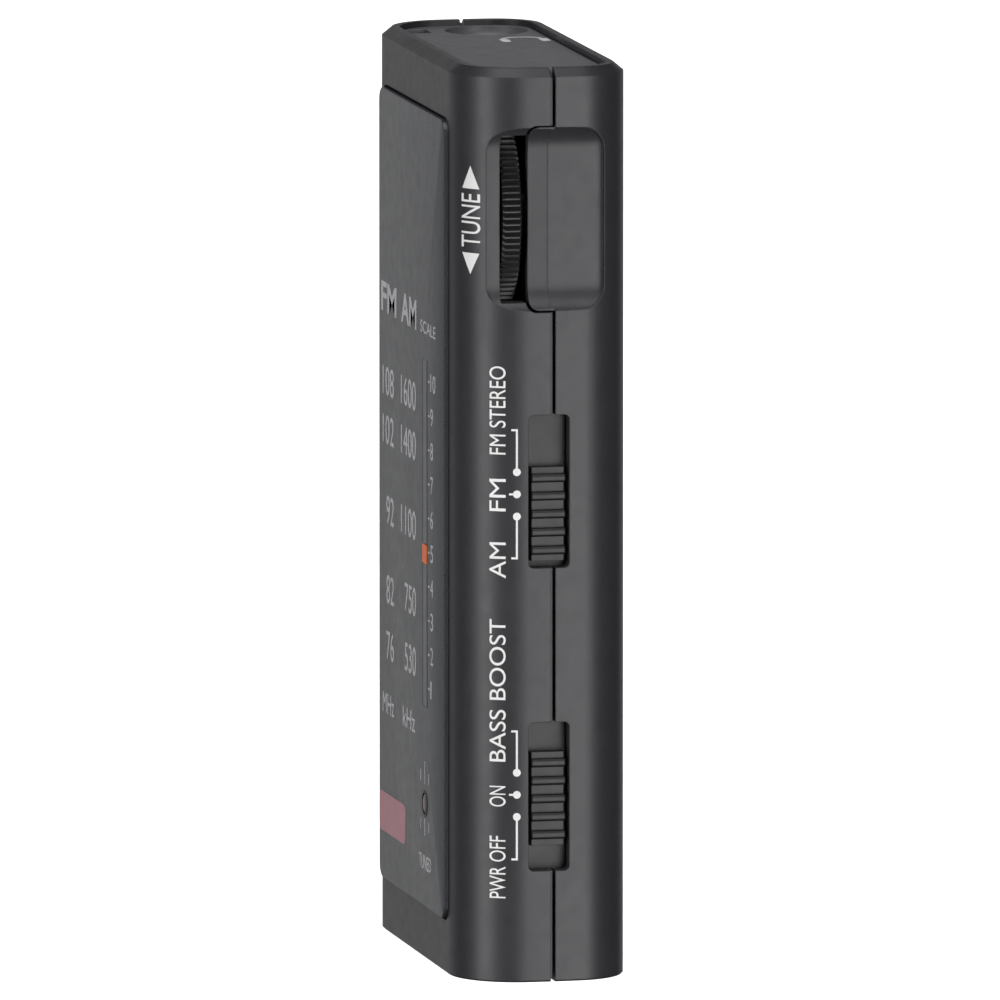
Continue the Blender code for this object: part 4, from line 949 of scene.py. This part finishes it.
def merge(bms):
    whole = bmesh.new()
    for bm in bms:
        scratch = bpy.data.meshes.new("scratch")
        bm.to_mesh(scratch)
        bm.free()
        whole.from_mesh(scratch)
        bpy.data.meshes.remove(scratch)
    return whole


def flat_block(x0, x1, z0, z1):
    """A printed bar on the dial panel."""
    front = PANEL_LOW.y
    return box(x0, x1, front - INK, front + INK, z0, z1)


def flat_letters(text, x0, x1, z0, z1, heavy=0.0):
    bm = letters(text, heavy)
    front = PANEL_LOW.y
    for v in bm.verts:
        u, w, d = v.co
        v.co = Vector((x0 + (x1 - x0) * u, front + INK - 2 * INK * d, z0 + (z1 - z0) * w))
    return bm


CORNER_END = FRONT_R * FRONT_TURN


def around(s, z, out):
    """Point on the case side at arc length s from the end of the front flat, lifted outwards."""
    if s < 0:
        return Vector((FRONT_X + s, FRONT_Y - out, z))
    if s <= CORNER_END:
        turn = s / FRONT_R
        radius = FRONT_R + out
        return Vector((FRONT_X + radius * math.sin(turn), FRONT_R + FRONT_Y - radius * math.cos(turn), z))
    turn = FRONT_TURN - math.pi / 2 + (s - CORNER_END) / SIDE_R
    radius = SIDE_R + out
    return Vector((HALF_W - SIDE_R + radius * math.cos(turn), SIDE_Y + radius * math.sin(turn), z))


def wrap(bm, s0, s1, z0, z1):
    """Lays a unit bmesh on the side: its X runs up from z0 to z1, its Y from s0 back to s1."""
    count = max(1, int(abs(s1 - s0) / 0.3))
    for index in range(1, count):
        geometry = bm.verts[:] + bm.edges[:] + bm.faces[:]
        bmesh.ops.bisect_plane(bm, geom=geometry, plane_co=(0, index / count, 0), plane_no=(0, 1, 0))
    for v in bm.verts:
        u, w, d = v.co
        v.co = around(s0 + (s1 - s0) * w, z0 + (z1 - z0) * u, INK * (2 * d - 1))
    return bm


def unit(points):
    """A closed unit-depth prism over points in 0 to 1."""
    return stack([[(x, y, z) for x, y in points] for z in (0.0, 1.0)])


def disc_points(steps=24):
    return [(0.5 + 0.5 * math.cos(2 * math.pi * i / steps), 0.5 + 0.5 * math.sin(2 * math.pi * i / steps))
            for i in range(steps)]


SQUARE = ((0, 0), (1, 0), (1, 1), (0, 1))

# side: text, back and front of its line along the side, lowest and highest Z
LINE_BACK = 7.5
LINE_FRONT = 6.0
SIDE_WORDS = (
    ("TUNE", 5.1, 2.9, 65.9, 70.7),
    ("FM STEREO", LINE_BACK, LINE_FRONT, 47.5, 55.4),
    ("FM", LINE_BACK, LINE_FRONT, 42.4, 45.3),
    ("AM", LINE_BACK, LINE_FRONT, 36.4, 39.6),
    ("BASS BOOST", LINE_BACK, LINE_FRONT, 19.9, 32.7),
    ("ON", LINE_BACK, LINE_FRONT, 15.85, 17.7),
    ("PWR OFF", LINE_BACK, LINE_FRONT, 7.6, 13.2),
)
ARROW_BACK = 5.0
ARROW_FRONT = 3.0
ARROWS = ((((0, 0), (1, 0.5), (0, 1)), 71.15, 73.2), (((1, 0), (1, 1), (0, 0.5)), 63.5, 65.4))

# brackets beside the switches: middle dot, upper end, lower end
BRACKETS = ((43.94, 49.7, 38.2), (16.93, 22.64, 11.12))
BRACKET_S = 8.5
DOT_PITCH = 1.99
DOT_R = 0.35
DOT_OVERLAP = 0.9
LINE_HALF = 0.09
END_TICK_S = 8.0
MIDDLE_TICK_S = 7.8

# panel: text, left, right, lowest and highest Z, extra weight
PANEL_WORDS = (
    ("FM", -12.8, -6.3, 56.6, 59.3, 0.02),
    ("AM", -4.2, 2.3, 56.6, 59.3, 0.02),
    ("SCALE", 4.0, 10.4, 56.75, 57.85, 0.0),
)
UNIT_WORDS = (("MHz", -12.2, -7.45, 20.2, 22.0), ("kHz", -3.6, 1.6, 20.1, 21.9))
DIGIT_WIDE = 1.58
DIGIT_TALL = 2.6
BAND_COLUMNS = (
    (-7.45, (("108", 50.4), ("102", 46.0), ("92", 38.75), ("82", 31.55), ("76", 26.45))),
    (2.0, (("1600", 50.5), ("1400", 46.0), ("1100", 38.8), ("750", 31.9), ("530", 26.5))),
)
SCALE_MARKS = 10
SCALE_TOP = 52.6
SCALE_PITCH = 3.078
MARK_LEFT = 7.2
MARK_RIGHT = 7.9
MARK_TEXT_X = 8.25
MARK_TEXT_HALF = 0.8
MARK_DIGIT_WIDE = 1.05
MARK_ONE_WIDE = 0.4
RAY_HALF = 0.1
RAY_SIDE = 1.7
BADGE = (-13.7, -2.5, 9.3, 12.9, 0.8)


def side_print():
    parts = [wrap(letters(text), *place) for text, *place in SIDE_WORDS]
    for shape, z0, z1 in ARROWS:
        parts.append(wrap(unit(shape), ARROW_BACK, ARROW_FRONT, z0, z1))
    for centre, end_high, end_low in BRACKETS:
        upper = centre + DOT_PITCH
        lower = centre - DOT_PITCH
        for z in (lower, centre, upper):
            parts.append(wrap(unit(disc_points()), BRACKET_S + DOT_R, BRACKET_S - DOT_R, z - DOT_R, z + DOT_R))
        line = (BRACKET_S + LINE_HALF, BRACKET_S - LINE_HALF)
        parts.append(wrap(unit(SQUARE), *line, upper + DOT_R * DOT_OVERLAP, end_high))
        parts.append(wrap(unit(SQUARE), *line, end_low, lower - DOT_R * DOT_OVERLAP))
        for z in (end_high, end_low, centre):
            tick = MIDDLE_TICK_S if z == centre else END_TICK_S
            parts.append(wrap(unit(SQUARE), BRACKET_S + LINE_HALF, tick, z - LINE_HALF, z + LINE_HALF))
    dress(solid("side_print", merge(parts)), "case", WHITE_INK, "case_plastic")


def panel_print():
    parts = [flat_letters(*word) for word in PANEL_WORDS]
    for right, column in BAND_COLUMNS:
        for text, z in column:
            parts.append(flat_letters(text, right - DIGIT_WIDE * len(text), right,
                                      z - DIGIT_TALL / 2, z + DIGIT_TALL / 2))
    parts += [flat_letters(*word) for word in UNIT_WORDS]
    for index in range(SCALE_MARKS):
        z = SCALE_TOP - SCALE_PITCH * index
        parts.append(flat_block(MARK_LEFT, MARK_RIGHT, z - LINE_HALF, z + LINE_HALF))
        text = str(SCALE_MARKS - index)
        wide = MARK_ONE_WIDE if text == "1" else MARK_DIGIT_WIDE * len(text)
        parts.append(flat_letters(text, MARK_TEXT_X, MARK_TEXT_X + wide, z - MARK_TEXT_HALF, z + MARK_TEXT_HALF))
    for z0, z1 in ((16.05, 18.1), (11.4, 12.95)):
        parts.append(flat_block(LED_X - RAY_HALF, LED_X + RAY_HALF, z0, z1))
    for side in (-1, 1):
        for low in (16.0, 11.6):
            x = LED_X + side * RAY_SIDE
            parts.append(flat_block(x - RAY_HALF, x + RAY_HALF, low + 0.2, low + 1.2))
    parts.append(flat_letters("TUNED", 3.4, 8.4, 8.3, 9.6))
    dress(solid("panel_print", merge(parts)), "case", GREY_INK, "panel_plastic")
    badge = [[(x, y, z) for x, z in rounded(*BADGE)] for y in (PANEL_LOW.y - INK, PANEL_LOW.y + INK)]
    dress(solid("panel_badge", stack(badge)), "case", PINK_INK, "panel_plastic")


def headphone_sign():
    """A plain headband with two ear pads, printed on the inlay behind the socket."""
    cx, cy = -6.9, 3.6
    outer, inner = 2.0, 1.65
    heights = (INLAY_HIGH.z - INK, INLAY_HIGH.z + INK)
    band = arc(0.0, 0.0, outer, 0.0, math.pi, 24) + arc(0.0, 0.0, inner, math.pi, 0.0, 24)
    parts = [stack([[(cx - 0.8 * v, cy + u, z) for u, v in band] for z in heights])]
    for side in (-1, 1):
        pad_y = cy + side * 1.8
        pad = rounded(cx - 0.2, cx + 1.9, pad_y - 0.4, pad_y + 0.4, 0.35, 6)
        parts.append(stack([[(x, y, z) for x, y in pad] for z in heights]))
    dress(solid("headphone_sign", merge(parts)), "case", WHITE_INK, "inlay_plastic")


# studio: lengths here are metres

# name, bearing from -Y towards +X, height, distance, width, height of the panel, radiance
LIGHTS = (
    ("front_strip", 26.0, -0.10, 1.0, 0.43, 1.3, 3.8),
    ("side_strip", 110.0, -0.10, 1.0, 0.66, 1.3, 3.3),
    ("rear_wall", -92.0, 0.0, 1.2, 3.0, 1.0, 0.40),
    ("overhead", 60.0, 1.2, 0.4, 1.2, 1.2, 2.4),
)
MIDDLE = Vector((0.0, 0.0, CASE_H * MM / 2))
FLOOR_R = 3.0
FLOOR_STEPS = 48
FLOOR_LEVELS_MM = (-4.0, -0.02)
FLOOR_GREY = 0.9
WHITE = (1.0, 1.0, 1.0, 1.0)
CAMERA_AZIMUTH = math.radians(77.73)
CAMERA_ELEVATION = math.radians(7.7)
CAMERA_DISTANCE = 2.306
CAMERA_LENS_MM = 925.2
CAMERA_SHIFT_Y = -0.00296


def area_light(name, bearing, height, distance, width, tall, radiance):
    """A soft light at a bearing from -Y towards +X, aimed at the middle of the object."""
    data = bpy.data.lights.new(name, "AREA")
    data.shape = "RECTANGLE"
    data.size = width
    data.size_y = tall
    data.energy = math.pi * width * tall * radiance
    item = bpy.data.objects.new(name, data)
    bpy.context.scene.collection.objects.link(item)
    turn = math.radians(bearing)
    place = Vector((math.sin(turn) * distance, -math.cos(turn) * distance, height))
    item.location = place
    item.rotation_mode = "QUATERNION"
    item.rotation_quaternion = (MIDDLE - place).to_track_quat("-Z", "Y")
    item.visible_camera = False


def floor():
    turns = [2 * math.pi * index / FLOOR_STEPS for index in range(FLOOR_STEPS)]
    bm = stack([[(FLOOR_R * math.cos(turn) / MM, FLOOR_R * math.sin(turn) / MM, z) for turn in turns]
                for z in FLOOR_LEVELS_MM])
    item = solid("studio_floor", bm)
    made, _, _, shader = node_material("floor_paper")
    shader.inputs["Base Color"].default_value = (FLOOR_GREY, FLOOR_GREY, FLOOR_GREY, 1.0)
    shader.inputs["Roughness"].default_value = 0.9
    shader.inputs["Emission Color"].default_value = WHITE
    shader.inputs["Emission Strength"].default_value = 1.0
    item.data.materials.append(made)
    item.visible_glossy = False
    item.visible_diffuse = False
    item.visible_shadow = False


def studio():
    world = bpy.data.worlds.new("studio")
    bpy.context.scene.world = world
    world.use_nodes = True
    background = world.node_tree.nodes["Background"]
    background.inputs["Color"].default_value = WHITE
    background.inputs["Strength"].default_value = 1.0
    world.cycles_visibility.diffuse = False
    world.cycles_visibility.glossy = False
    for light in LIGHTS:
        area_light(*light)
    bpy.context.scene.view_settings.view_transform = "Standard"
    floor()


def camera():
    data = bpy.data.cameras.new("camera")
    data.sensor_width = 36.0
    data.lens = CAMERA_LENS_MM
    data.shift_y = CAMERA_SHIFT_Y
    data.clip_start = 0.1
    data.clip_end = 20.0
    item = bpy.data.objects.new("camera", data)
    bpy.context.scene.collection.objects.link(item)
    level = math.cos(CAMERA_ELEVATION)
    back = Vector((math.sin(CAMERA_AZIMUTH) * level, -math.cos(CAMERA_AZIMUTH) * level,
                   math.sin(CAMERA_ELEVATION)))
    item.location = MIDDLE + back * CAMERA_DISTANCE
    item.rotation_mode = "QUATERNION"
    item.rotation_quaternion = (-back).to_track_quat("-Z", "Y")
    bpy.context.scene.camera = item


dress_cad_nodes()
front_shell()
rear_shell()
dial_panel()
led_lens()
top_inlay()
jack_collar()
tuning_wheel()
volume_wheel()
slide_knob("band")
slide_knob("power")
scale_strip()
dial_pointer()
battery_cell()
screws()
side_print()
panel_print()
headphone_sign()
studio()
camera()
